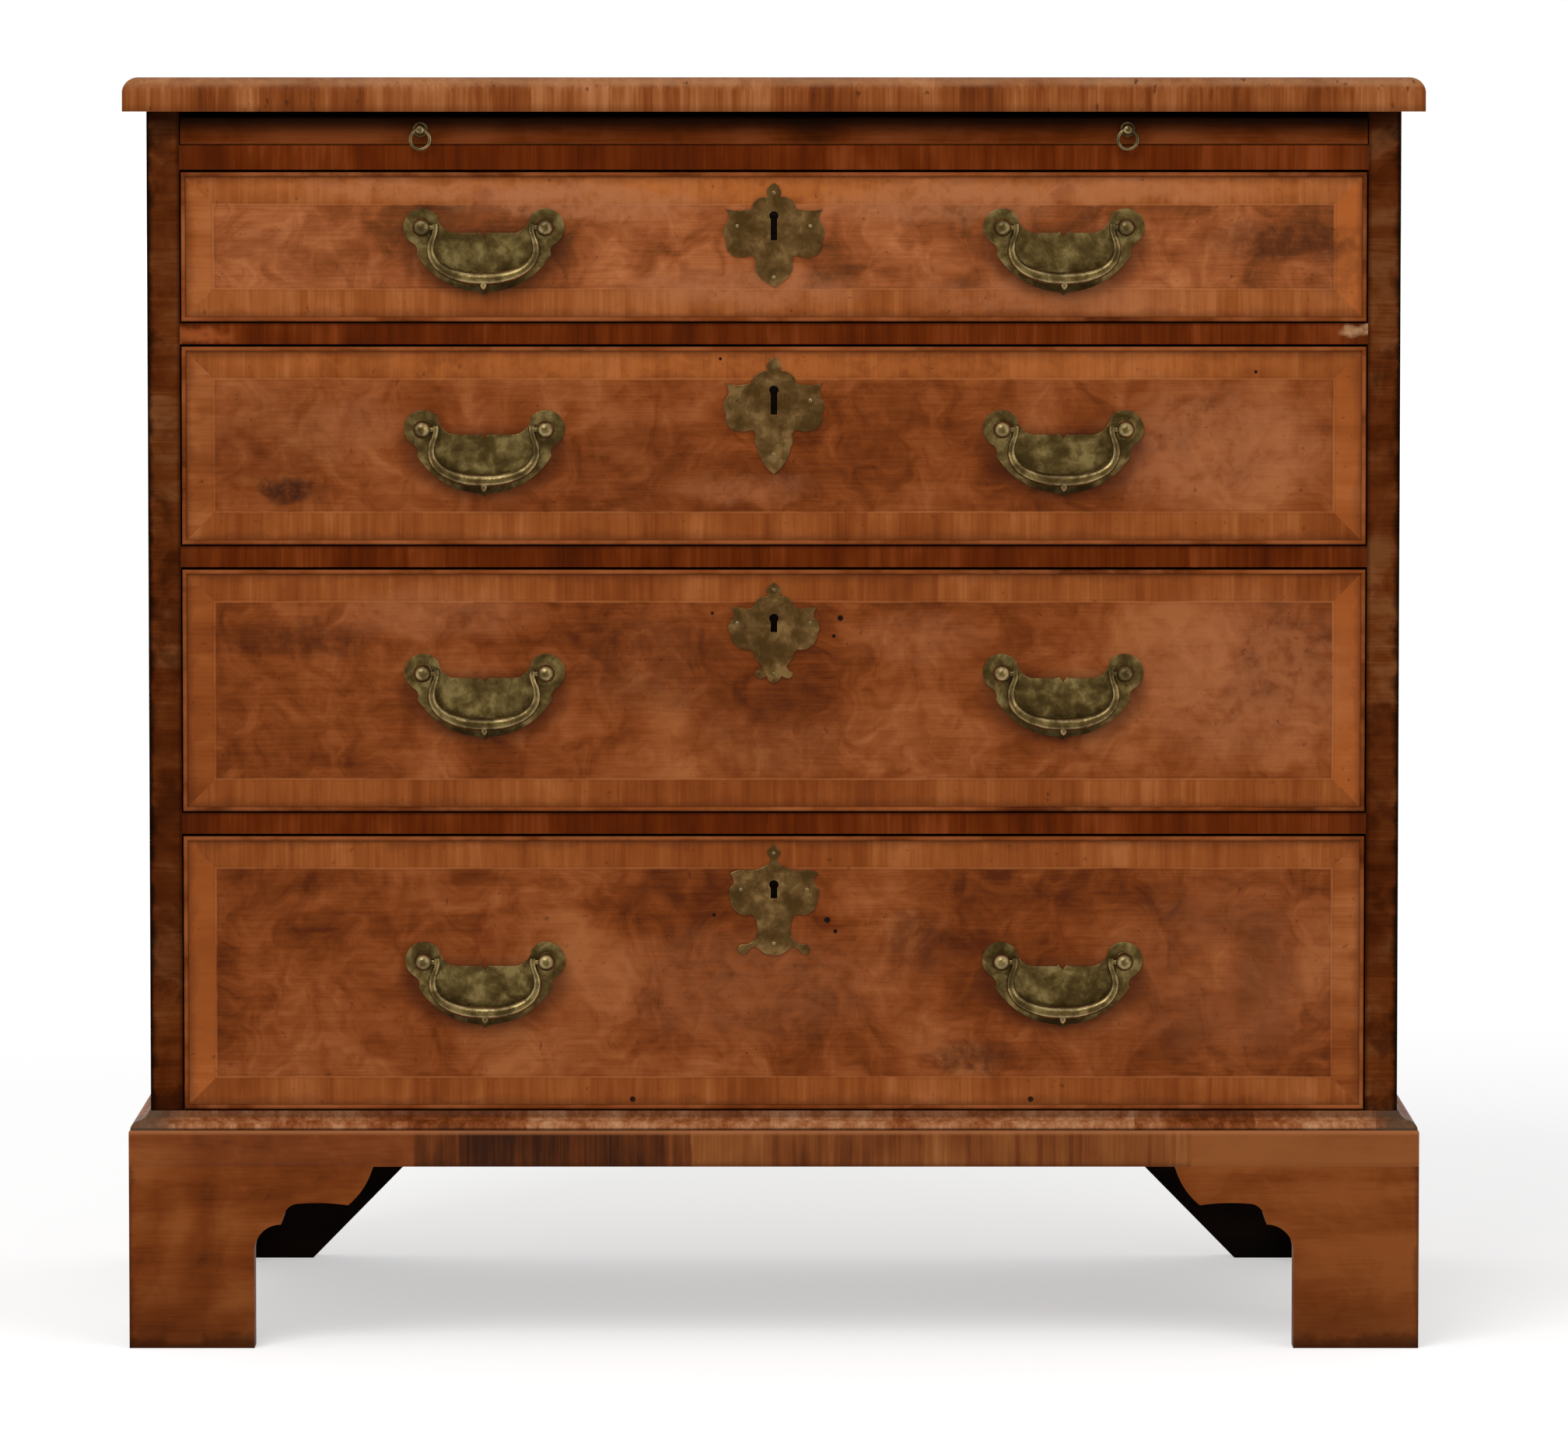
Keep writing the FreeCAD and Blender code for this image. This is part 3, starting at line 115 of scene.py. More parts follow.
class Graph(Nodes):
    """A material's node tree. Its methods add nodes and return their output, up to finish."""

    def __init__(self, name):
        self.material = bpy.data.materials.new(name)
        super().__init__(self.material)
        coordinates = self.add("TexCoord")
        self.position = coordinates.outputs["Object"]
        self.normal = coordinates.outputs["Normal"]
        parts = self.add("SeparateXYZ")
        self.feed(parts.inputs[0], self.position)
        self.x, self.y, self.z = parts.outputs

    def stretched(self, scale, shift=(0.0, 0.0, 0.0)):
        """The position scaled along each axis, as the coordinates of a texture."""
        node = self.add("Mapping")
        self.feed(node.inputs["Vector"], self.position)
        self.feed(node.inputs["Location"], shift)
        self.feed(node.inputs["Scale"], scale)
        return node.outputs[0]

    def warped(self, vector, scale, amount):
        """The coordinates pushed about by a soft noise."""
        noise = self.add("TexNoise")
        self.feed(noise.inputs["Vector"], vector)
        self.feed(noise.inputs["Scale"], scale)
        self.feed(noise.inputs["Detail"], 3.0)
        centred = self.add("VectorMath", operation="SUBTRACT")
        self.feed(centred.inputs[0], noise.outputs["Color"])
        self.feed(centred.inputs[1], (0.5, 0.5, 0.5))
        push = self.add("VectorMath", operation="MULTIPLY_ADD")
        self.feed(push.inputs[0], centred.outputs[0])
        self.feed(push.inputs[1], (amount, amount, amount))
        self.feed(push.inputs[2], vector)
        return push.outputs[0]

    def noise(self, vector, scale=1.0, detail=4.0, roughness=0.5, distortion=0.0):
        node = self.add("TexNoise")
        self.feed(node.inputs["Vector"], vector)
        self.feed(node.inputs["Scale"], scale)
        self.feed(node.inputs["Detail"], detail)
        self.feed(node.inputs["Roughness"], roughness)
        self.feed(node.inputs["Distortion"], distortion)
        return node.outputs["Fac"]

    def step(self, value, low, high, first=0.0, last=1.0):
        """A smooth step from first to last as the value goes from low to high."""
        node = self.add("MapRange", interpolation_type="SMOOTHSTEP")
        self.feed(node.inputs["Value"], value)
        self.feed(node.inputs["From Min"], low)
        self.feed(node.inputs["From Max"], high)
        self.feed(node.inputs["To Min"], first)
        self.feed(node.inputs["To Max"], last)
        return node.outputs["Result"]

    def ramp(self, factor, stops):
        """A colour from (place, colour) stops, of which there are two or more."""
        node = self.add("ValToRGB")
        elements = node.color_ramp.elements
        while len(elements) < len(stops):
            elements.new(0.5)
        for element, (place, colour) in zip(elements, stops):
            element.position = place
            element.color = colour
        self.feed(node.inputs["Fac"], factor)
        return node.outputs["Color"]

    def mix(self, factor, first, second):
        """The first colour where the factor is 0, and the second where it is 1."""
        node = self.add("Mix", data_type="RGBA")
        self.feed(node.inputs["Factor"], factor)
        colours = [socket for socket in node.inputs if socket.type == "RGBA"]
        self.feed(colours[0], first)
        self.feed(colours[1], second)
        return next(socket for socket in node.outputs if socket.type == "RGBA")

    def away(self, place, middle):
        """The distance of a coordinate from a middle, on either side."""
        return self.math("ABSOLUTE", self.math("SUBTRACT", place, middle))

    def off_centre(self, middle, radii=(1.0, 1.0), place=None):
        """The squared distance from a middle in the plane of the front, in shares of the radii."""
        total = 0.0
        for value, centre, radius in zip(place or (self.x, self.z), middle, radii):
            share = self.math("DIVIDE", self.math("SUBTRACT", value, centre), radius)
            total = self.math("MULTIPLY_ADD", share, share, total)
        return total

    def segment_tone(self, coordinate, length, seed):
        """A random number for each stretch of the given length, as from leaves of veneer."""
        scaled = self.math("MULTIPLY_ADD", coordinate, 1.0 / length, seed)
        whole = self.math("FLOOR", scaled)
        node = self.add("TexWhiteNoise", noise_dimensions="1D")
        self.feed(node.inputs["W"], whole)
        return node.outputs["Value"]

    def finish(self, colour, roughness, height, bump, depth, **constants):
        """Close the tree with a Principled shader; constants are set on its own sockets."""
        shader = self.add("BsdfPrincipled")
        self.feed(shader.inputs["Base Color"], colour)
        self.feed(shader.inputs["Roughness"], roughness)
        for name, value in constants.items():
            shader.inputs[name.replace("_", " ")].default_value = value
        relief = self.add("Bump")
        relief.inputs["Strength"].default_value = bump
        relief.inputs["Distance"].default_value = depth
        self.feed(relief.inputs["Height"], height)
        self.feed(shader.inputs["Normal"], relief.outputs["Normal"])
        output = self.add("OutputMaterial")
        self.feed(output.inputs["Surface"], shader.outputs[0])
        return self.material


# ---- Walnut ----

# Tones of the polished walnut as (place, colour), from the darkest streaks to the lightest.
# The top drawer's lighter field tones are partly painted sheen; the top board shares them.
UPPER_FIELD_TONES = [
    (0.1, srgb(78, 40, 14)),
    (0.35, srgb(118, 62, 26)),
    (0.5, srgb(141, 74, 34)),
    (0.65, srgb(158, 88, 46)),
    (0.9, srgb(186, 112, 66)),
]
FIELD_TONES = [
    (0.1, srgb(88, 36, 6)),
    (0.35, srgb(118, 56, 16)),
    (0.5, srgb(134, 67, 26)),
    (0.65, srgb(146, 78, 36)),
    (0.9, srgb(165, 97, 52)),
]
BAND_TONES = [
    (0.1, srgb(106, 46, 9)),
    (0.4, srgb(132, 65, 22)),
    (0.65, srgb(151, 81, 34)),
    (0.9, srgb(172, 101, 54)),
]
RAIL_TONES = [
    (0.1, srgb(54, 18, 2)),
    (0.35, srgb(80, 29, 4)),
    (0.5, srgb(93, 35, 5)),
    (0.65, srgb(106, 44, 9)),
    (0.9, srgb(134, 64, 26)),
]
SLIDE_TONES = [
    (0.1, srgb(36, 12, 1)),
    (0.35, srgb(68, 27, 3)),
    (0.6, srgb(95, 40, 7)),
    (0.9, srgb(120, 60, 26)),
]
STILE_TONES = [
    (0.1, srgb(44, 14, 2)),
    (0.35, srgb(72, 29, 5)),
    (0.5, srgb(86, 37, 10)),
    (0.7, srgb(103, 50, 18)),
    (0.9, srgb(122, 72, 38)),
]
EDGE_TONES = [
    (0.1, srgb(102, 48, 15)),
    (0.35, srgb(136, 72, 34)),
    (0.5, srgb(155, 92, 52)),
    (0.65, srgb(174, 114, 74)),
    (0.9, srgb(198, 146, 106)),
]
TOP_EDGE_TONES = [
    (0.1, srgb(84, 34, 6)),
    (0.35, srgb(116, 55, 15)),
    (0.5, srgb(134, 70, 27)),
    (0.65, srgb(152, 88, 43)),
    (0.9, srgb(180, 116, 72)),
]
PLINTH_TONES = [
    (0.1, srgb(52, 22, 4)),
    (0.35, srgb(92, 44, 12)),
    (0.5, srgb(118, 61, 24)),
    (0.7, srgb(138, 79, 36)),
    (0.9, srgb(156, 99, 54)),
]
FOOT_TONES = [
    (0.1, srgb(70, 32, 10)),
    (0.35, srgb(104, 49, 16)),
    (0.55, srgb(121, 59, 21)),
    (0.9, srgb(143, 79, 36)),
]
# Scales of the streaks and of the pores, for grain that runs along each axis.
GRAIN_STRETCH = {"x": (5.0, 46.0, 46.0), "y": (46.0, 5.0, 46.0), "z": (46.0, 46.0, 5.0)}
PORE_STRETCH = {"x": (34.0, 760.0, 760.0), "y": (760.0, 34.0, 760.0), "z": (760.0, 760.0, 34.0)}
# Near black: soot in nail holes and joints, and painted shade in the gaps beside the beads and
# under the drawers.
SOOT_AND_SHADE = srgb(20, 7, 2)


def weighted(graph, noises, tone):
    """Sum of noises about a middle of one half; each comes with its weight."""
    total = 0.5 + tone - 0.5 * sum(weight for _, weight in noises)
    for noise, weight in noises:
        total = graph.math("MULTIPLY_ADD", noise, weight, total)
    return total


def walnut(graph, along, tones, burl, shift, tone=0.0, cloud=1.5):
    """Colour and pores of a walnut veneer whose grain runs along an axis.

    Burl makes the grain curly, and cloud is the strength of its broad light and dark areas.
    """
    place = graph.stretched((1.0, 1.0, 1.0), shift)
    coarse = graph.warped(graph.stretched(GRAIN_STRETCH[along], shift), 0.9, 1.1)
    streaks = graph.noise(coarse, detail=5.0, roughness=0.58, distortion=0.4)
    curls = graph.noise(graph.warped(place, 16.0, 0.045), 46.0, 6.0, 0.6, 0.9)
    clouds = graph.noise(graph.warped(place, 6.0, 0.07), 8.5, 3.0, 0.5, 0.8)
    pores = graph.noise(graph.stretched(PORE_STRETCH[along], shift), detail=2.0)
    parts = [(streaks, 1.6 * (1.0 - burl)), (curls, 1.6 * burl), (clouds, cloud)]
    figure = weighted(graph, parts, tone)
    fine = graph.step(pores, 0.3, 0.62, -0.07, 0.02)
    figure = graph.math("ADD", figure, fine, clamp=True)
    return graph.ramp(figure, tones), pores


def leaf_tones(graph, leaves):
    """The tone of chosen leaves along x, each running from where it begins to the next one."""
    wander = graph.math("MULTIPLY_ADD", graph.noise(graph.position, 60.0, 2.0), 0.005, graph.x)
    total = 0.0
    before = 0.0
    for begin, tone in leaves:
        rise = graph.step(wander, begin, begin + 0.0018, 0.0, tone - before)
        total = graph.math("ADD", rise, total)
        before = tone
    return total


def crossgrain(graph, tones, shift, tone, leaf, step, streak, leaves=()):
    """Colour and relief of veneer with upright grain, laid in leaves.

    Leaf is their length, step how much their tones differ, and streak the strength of the grain;
    leaves adds the tones of chosen ones.
    """
    fine = graph.noise(graph.stretched((620.0, 620.0, 22.0), shift), detail=2.0)
    narrow = graph.noise(graph.stretched((170.0, 170.0, 8.0), shift), detail=3.0, distortion=0.3)
    broad = graph.noise(graph.stretched((26.0, 26.0, 14.0), shift), detail=3.0, distortion=0.5)
    figure = weighted(graph, [(fine, 0.5 * streak), (narrow, 0.9 * streak), (broad, 0.9)], tone)
    wander = graph.noise(graph.position, 60.0, 2.0)
    edge = graph.math("MULTIPLY_ADD", wander, leaf * 0.06, graph.x)
    leaf_tone = graph.segment_tone(edge, leaf, 11.0 + shift[0])
    figure = graph.math("MULTIPLY_ADD", leaf_tone, step, figure)
    if leaves:
        figure = graph.math("ADD", figure, leaf_tones(graph, leaves))
    figure = graph.math("SUBTRACT", figure, step / 2, clamp=True)
    return graph.ramp(figure, tones), narrow


def old_polish(graph, colour, height, roughness, shine):
    """Wax polish with slight unevenness: soft marks in its gloss and fine scratches."""
    wear = graph.noise(graph.position, 24.0, 5.0, 0.6)
    scratches = graph.noise(graph.stretched((60.0, 60.0, 900.0)), detail=2.0)
    gloss = graph.step(wear, 0.32, 0.7, roughness - 0.04, roughness + 0.09)
    gloss = graph.math("MULTIPLY_ADD", scratches, 0.05, gloss)
    relief = graph.math("MULTIPLY_ADD", wear, 0.2, height)
    return graph.finish(colour, gloss, relief, bump=0.14, depth=0.0004, Specular_IOR_Level=shine)


def darkening_near(graph, distance, reach):
    """How much a surface is darkened near an edge, from 1 at the edge to 0 beyond the reach."""
    uneven = graph.noise(graph.position, 60.0, 4.0, 0.6)
    spread = graph.step(uneven, 0.3, 0.7, reach * 0.5, reach * 1.6)
    return graph.step(graph.math("DIVIDE", distance, spread), 0.0, 1.0, 1.0, 0.0)


def blot(graph, middle, radii):
    """A ragged, mottled patch in the plane of the front: 1 in the middle and 0 outside."""
    rough = graph.warped(graph.position, 42.0, 0.02)
    parts = graph.add("SeparateXYZ")
    graph.feed(parts.inputs[0], graph.warped(rough, 150.0, 0.005))
    square = graph.off_centre(middle, radii, (parts.outputs[0], parts.outputs[2]))
    patch = graph.step(square, 0.05, 1.1, 1.0, 0.0)
    mottle = graph.step(graph.noise(rough, 120.0, 4.0, 0.6), 0.32, 0.6, 0.35, 1.0)
    return graph.math("MULTIPLY", patch, mottle)


def mark(graph, middle, radius):
    """A small round mark with a fairly sharp rim, such as a nail hole."""
    return graph.step(graph.off_centre(middle), (radius * 0.6) ** 2, radius ** 2, 1.0, 0.0)


def shadow_round_plate(graph, middle, radii):
    """Painted shadow that darkens the wood round and below a handle's plate."""
    return graph.step(graph.off_centre(middle, radii), 0.7, 1.25, 0.5, 0.0)


DARK_STAIN = srgb(64, 27, 10)
# The pale patches are bloom and painted sheen; the amber strips along the drawers' top bands are a
# painted highlight.
BLOOM_AND_SHEEN = srgb(178, 112, 72)
AMBER_HIGHLIGHT = srgb(192, 110, 52)
# Patches on each drawer front: middle, radii, colour and strength.
BLOTS = {
    1: [
        ((0.318, 0.684), (0.062, 0.016), DARK_STAIN, 0.55),
        ((0.347, 0.668), (0.022, 0.022), DARK_STAIN, 0.3),
        ((-0.285, 0.681), (0.07, 0.03), DARK_STAIN, 0.14),
        ((0.0, 0.718), (0.42, 0.012), AMBER_HIGHLIGHT, 0.6),
        ((-0.02, 0.655), (0.085, 0.016), BLOOM_AND_SHEEN, 0.6),
        ((0.17, 0.650), (0.10, 0.014), BLOOM_AND_SHEEN, 0.5),
        ((-0.12, 0.708), (0.095, 0.014), BLOOM_AND_SHEEN, 0.75),
        ((0.10, 0.706), (0.09, 0.014), BLOOM_AND_SHEEN, 0.65),
        ((-0.20, 0.716), (0.11, 0.008), BLOOM_AND_SHEEN, 0.7),
        ((0.19, 0.716), (0.13, 0.009), BLOOM_AND_SHEEN, 0.7),
    ],
    2: [
        ((-0.298, 0.531), (0.024, 0.010), DARK_STAIN, 0.95),
        ((-0.085, 0.545), (0.06, 0.04), DARK_STAIN, 0.2),
        ((-0.305, 0.56), (0.055, 0.045), DARK_STAIN, 0.25),
        ((-0.02, 0.532), (0.05, 0.012), BLOOM_AND_SHEEN, 0.35),
        ((0.27, 0.556), (0.085, 0.045), BLOOM_AND_SHEEN, 0.5),
        ((-0.255, 0.572), (0.03, 0.02), BLOOM_AND_SHEEN, 0.3),
        ((0.0, 0.609), (0.42, 0.012), AMBER_HIGHLIGHT, 0.4),
        ((-0.36, 0.556), (0.022, 0.07), DARK_STAIN, 0.16),
    ],
    3: [
        ((-0.29, 0.440), (0.055, 0.014), DARK_STAIN, 0.55),
        ((-0.075, 0.425), (0.06, 0.04), DARK_STAIN, 0.4),
        ((0.0, 0.385), (0.06, 0.04), DARK_STAIN, 0.3),
        ((0.29, 0.415), (0.085, 0.06), BLOOM_AND_SHEEN, 0.45),
        ((-0.21, 0.455), (0.07, 0.02), BLOOM_AND_SHEEN, 0.3),
        ((0.09, 0.44), (0.05, 0.02), BLOOM_AND_SHEEN, 0.25),
    ],
    4: [
        ((0.302, 0.222), (0.026, 0.050), DARK_STAIN, 0.38),
        ((0.275, 0.268), (0.04, 0.016), DARK_STAIN, 0.2),
        ((0.122, 0.180), (0.034, 0.012), DARK_STAIN, 0.7),
        ((0.092, 0.252), (0.028, 0.024), DARK_STAIN, 0.55),
        ((0.255, 0.200), (0.03, 0.026), DARK_STAIN, 0.28),
        ((-0.02, 0.225), (0.12, 0.04), BLOOM_AND_SHEEN, 0.22),
        ((0.29, 0.235), (0.10, 0.07), BLOOM_AND_SHEEN, 0.16),
    ],
}
# Nail holes and dents on each drawer front: middle and radius.
MARKS = {
    1: [((0.043, 0.725), 0.0016)],
    2: [((-0.033, 0.612), 0.0012), ((0.297, 0.604), 0.0013)],
    3: [((0.041, 0.452), 0.0022), ((0.037, 0.441), 0.0014), ((-0.038, 0.455), 0.0012)],
    4: [((-0.037, 0.268), 0.0014), ((0.033, 0.265), 0.0024), ((0.038, 0.258), 0.0016),
        ((-0.0875, 0.1535), 0.0022), ((0.159, 0.1535), 0.0022)],
}
# How far each handle's middle is from the chest's middle.
HANDLE_MIDDLE = 0.1785
# Older marks above each handle's posts: their heights, and their radii.
GHOST_RISES = (0.009, 0.019)
GHOST_RADII = (0.0085, 0.0065)
# The painted shadow round each handle's plate: how far its middle is below the posts, and its
# radii.
PLATE_SHADOW_DROP = 0.014
PLATE_SHADOW_RADII = (0.052, 0.031)
# How much each drawer's crossbands are raised in tone; the top drawer's larger lift is partly a
# painted highlight.
BAND_LIFT = {1: 0.18, 2: 0.08, 3: 0.04, 4: 0.07}
# How much brighter the crossbands at each drawer's left and right ends are.
END_GLOW = {1: (0.1, 0.75), 2: (0.0, 0.35), 3: (0.1, 0.5), 4: (0.4, 0.0)}
CROSSBAND_WIDTH = 0.0195
STRINGING_WIDTH = 0.0011
COCKBEAD_WIDTH = 0.0028


def drawer_front_material(number):
    """Burr walnut inside mitred crossbanding, a thin line between them, stains, pale bloom with
    painted sheen and highlights, and painted shadow round the handle plates.
    """
    graph = Graph(f"drawer_{number}_front_veneer")
    low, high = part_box(f"drawer_{number}_front")
    shift = (0.37 * number, 0.0, 0.21 * number)
    tones = UPPER_FIELD_TONES if number == 1 else FIELD_TONES
    field, pores = walnut(graph, "x", tones, burl=0.72, shift=shift)
    paler = BAND_LIFT[number]
    lying, _ = crossgrain(graph, BAND_TONES, shift, tone=paler, leaf=0.118, step=0.2, streak=0.7)
    upright, _ = walnut(graph, "x", BAND_TONES, burl=0.15, shift=shift, tone=paler)
    from_side = graph.math("SUBTRACT", high.x, graph.math("ABSOLUTE", graph.x))
    from_low = graph.math("SUBTRACT", graph.z, low.z)
    from_high = graph.math("SUBTRACT", high.z, graph.z)
    from_ends = graph.math("MINIMUM", from_low, from_high)
    from_edge = graph.math("MINIMUM", from_side, from_ends)
    is_upright = graph.math("LESS_THAN", from_side, from_ends)
    end_glow = graph.step(graph.x, -0.1, 0.1, *END_GLOW[number])
    upright = graph.mix(end_glow, upright, srgb(182, 98, 42))
    band = graph.mix(is_upright, lying, upright)
    wander = graph.noise(graph.position, 30.0, 2.0)
    line_place = graph.math("MULTIPLY_ADD", wander, 0.0008, CROSSBAND_WIDTH)
    in_band = graph.math("LESS_THAN", from_edge, line_place)
    colour = graph.mix(in_band, field, band)
    off_line = graph.away(from_edge, line_place)
    worn_line = graph.step(graph.noise(graph.position, 26.0, 4.0, 0.6), 0.35, 0.65, 0.1, 0.45)
    line_mask = graph.step(off_line, STRINGING_WIDTH * 0.35, STRINGING_WIDTH, 1.0, 0.0)
    colour = graph.mix(graph.math("MULTIPLY", line_mask, worn_line), colour, srgb(174, 104, 56))
    seam = graph.step(graph.away(off_line, STRINGING_WIDTH), 0.0, 0.0005, 0.3, 0.0)
    colour = graph.mix(seam, colour, srgb(84, 36, 12))
    for middle, radii, tint, strength in BLOTS[number]:
        mask = graph.math("MULTIPLY", blot(graph, middle, radii), strength)
        colour = graph.mix(mask, colour, tint)
    post_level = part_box(f"drawer_{number}_bail_left")[1].z
    for side in (-1, 1):
        for rise in GHOST_RISES:
            ghost = blot(graph, (side * HANDLE_MIDDLE, post_level + rise), GHOST_RADII)
            colour = graph.mix(graph.math("MULTIPLY", ghost, 0.4), colour, srgb(116, 46, 14))
        # Painted shadow round the handle's plate, kept below its posts.
        plate_shadow = shadow_round_plate(graph, (side * HANDLE_MIDDLE, post_level - PLATE_SHADOW_DROP), PLATE_SHADOW_RADII)
        below_posts = graph.step(graph.z, post_level - 0.008, post_level + 0.004, 1.0, 0.0)
        colour = graph.mix(graph.math("MULTIPLY", plate_shadow, below_posts), colour, srgb(58, 22, 7))
    for middle, radius in MARKS[number]:
        colour = graph.mix(mark(graph, middle, radius), colour, SOOT_AND_SHADE)
    specks = graph.noise(graph.warped(graph.position, 90.0, 0.01), 210.0, 3.0, 0.6)
    colour = graph.mix(graph.step(specks, 0.64, 0.74, 0.0, 0.5), colour, srgb(66, 26, 8))
    # Darker along the cockbead.
    edge_darkening = darkening_near(graph, graph.math("SUBTRACT", from_edge, COCKBEAD_WIDTH), 0.006)
    colour = graph.mix(graph.math("MULTIPLY", edge_darkening, 0.4), colour, srgb(76, 33, 12))
    return old_polish(graph, colour, pores, roughness=0.33, shine=0.06)


def cockbead_material(number):
    """Walnut beads, pale in places as wear and painted highlight, with painted shade down beside
    them.
    """
    graph = Graph(f"drawer_{number}_cockbead_walnut")
    shift = (0.11 * number, 0.0, 0.0)
    colour, pores = walnut(graph, "x", FIELD_TONES, burl=0.2, shift=shift, tone=-0.08)
    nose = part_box(f"drawer_{number}_cockbeads")[0].y
    # Pale patches: partly wear, partly painted highlight on the bead.
    pale_patches = graph.step(graph.noise(graph.position, 35.0, 4.0, 0.6), 0.4, 0.66, 0.0, 0.55)
    colour = graph.mix(pale_patches, colour, srgb(164, 94, 50))
    # Painted shade on the bead's sides, down in the gap.
    sunk = graph.step(graph.y, nose + 0.0006, nose + 0.0020, 0.0, 0.95)
    colour = graph.mix(sunk, colour, SOOT_AND_SHADE)
    return old_polish(graph, colour, pores, roughness=0.36, shine=0.05)


# Worn places on the rail under the first drawer: middle and radii.
RAIL_CHIP = ((0.3585, 0.6275), (0.012, 0.005))
RAIL_SCUFF = ((-0.352, 0.6278), (0.022, 0.006))


def rail_material():
    """Crossgrain rails with painted shade under each drawer, darker at their ends, with a chip and
    a scuff.
    """
    graph = Graph("rail_crossgrain_walnut")
    colour, pores = crossgrain(
        graph, RAIL_TONES, (2.0, 0.0, 0.3), tone=0.07, leaf=0.13, step=0.16, streak=0.6)
    for number in DRAWERS[:-1]:
        # Painted shade on the rail just under each drawer.
        depth = graph.math("SUBTRACT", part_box(f"drawer_{number}_front")[0].z, graph.z)
        shade = graph.step(depth, 0.0, 0.0035, 0.8, 0.0)
        shade = graph.math("MULTIPLY", shade, graph.step(depth, -0.004, 0.0))
        colour = graph.mix(shade, colour, SOOT_AND_SHADE)
    ends = graph.step(graph.math("ABSOLUTE", graph.x), 0.345, 0.367, 0.0, 0.4)
    colour = graph.mix(ends, colour, srgb(34, 11, 3))
    chip = graph.math("MULTIPLY", blot(graph, *RAIL_CHIP), 0.95)
    colour = graph.mix(chip, colour, srgb(196, 152, 108))
    scuff = graph.math("MULTIPLY", blot(graph, *RAIL_SCUFF), 0.7)
    colour = graph.mix(scuff, colour, srgb(168, 88, 42))
    return old_polish(graph, colour, pores, roughness=0.36, shine=0.02)


def case_side_material():
    """Straight walnut on the flanks; dark, patchy facings on the front edges."""
    graph = Graph("case_side_walnut")
    flank, pores = walnut(
        graph, "z", FOOT_TONES, burl=0.2, shift=(0.4, 0.9, 0.0), tone=0.06, cloud=0.8)
    edge, _ = walnut(graph, "x", STILE_TONES, burl=0.45, shift=(0.2, 0.0, 0.4), tone=0.1)
    leaf = graph.segment_tone(graph.z, 0.085, 1.3)
    edge = graph.mix(graph.step(leaf, 0.3, 0.85, 0.3, 0.0), edge, srgb(50, 19, 5))
    low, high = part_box("case_side_right")
    on_front = graph.step(graph.y, low.y + 0.0004, low.y + 0.0012, 1.0, 0.0)
    outer = graph.math("SUBTRACT", high.x, graph.math("ABSOLUTE", graph.x))
    inner = graph.math("SUBTRACT", graph.math("ABSOLUTE", graph.x), low.x)
    patches = graph.noise(graph.warped(graph.position, 30.0, 0.02), 34.0, 5.0, 0.6)
    edge = graph.mix(graph.step(patches, 0.5, 0.66, 0.0, 0.55), edge, srgb(44, 15, 4))
    # Near black along the outer arris.
    edge = graph.mix(darkening_near(graph, outer, 0.0045), edge, srgb(12, 5, 2))
    # Painted shade along the inner edges, beside the drawer openings.
    edge = graph.mix(graph.step(inner, 0.0, 0.003, 0.6, 0.0), edge, srgb(30, 10, 3))
    colour = graph.mix(on_front, flank, edge)
    # Painted shade near the top and bottom ends, under the top's overhang and where the case meets
    # the base moulding.
    from_top = graph.math("SUBTRACT", high.z, graph.z)
    ends = graph.math("MINIMUM", from_top, graph.math("SUBTRACT", graph.z, low.z))
    edge_darkening = graph.math("MULTIPLY", darkening_near(graph, ends, 0.03), 0.8)
    colour = graph.mix(edge_darkening, colour, srgb(26, 10, 4))
    return old_polish(graph, colour, pores, roughness=0.48, shine=0.006)


# The width of the crossbanded border round the top.
TOP_BORDER = 0.035


def top_material():
    """Quartered burr veneer on the top board, mirrored about both of its middle lines."""
    graph = Graph("top_quartered_walnut")
    low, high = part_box("top_board")
    fold = graph.add("CombineXYZ")
    graph.feed(fold.inputs[0], graph.math("ABSOLUTE", graph.x))
    graph.feed(fold.inputs[1], graph.away(graph.y, (low.y + high.y) / 2))
    graph.feed(fold.inputs[2], graph.z)
    graph.position = fold.outputs[0]
    colour, pores = walnut(
        graph, "y", UPPER_FIELD_TONES, burl=0.6, shift=(0.2, 0.6, 0.0), cloud=1.1)
    side = graph.math("SUBTRACT", high.x, graph.math("ABSOLUTE", graph.x))
    front = graph.math("SUBTRACT", graph.y, low.y)
    ends = graph.math("MINIMUM", front, graph.math("SUBTRACT", high.y, graph.y))
    edge = graph.math("MINIMUM", side, ends)
    lying, upright = (
        walnut(graph, along, BAND_TONES, burl=0.15, shift=(0.5, 0.1, 0.0), tone=0.04)[0]
        for along in ("y", "x"))
    band = graph.mix(graph.math("LESS_THAN", side, ends), lying, upright)
    colour = graph.mix(graph.math("LESS_THAN", edge, TOP_BORDER), colour, band)
    line = graph.step(graph.away(edge, TOP_BORDER), 0.0004, 0.0012, 0.5, 0.0)
    colour = graph.mix(line, colour, srgb(192, 128, 78))
    rings = graph.noise(graph.warped(graph.position, 12.0, 0.03), 20.0, 4.0, 0.6)
    colour = graph.mix(graph.step(rings, 0.58, 0.72, 0.0, 0.3), colour, DARK_STAIN)
    return old_polish(graph, colour, pores, roughness=0.3, shine=0.04)


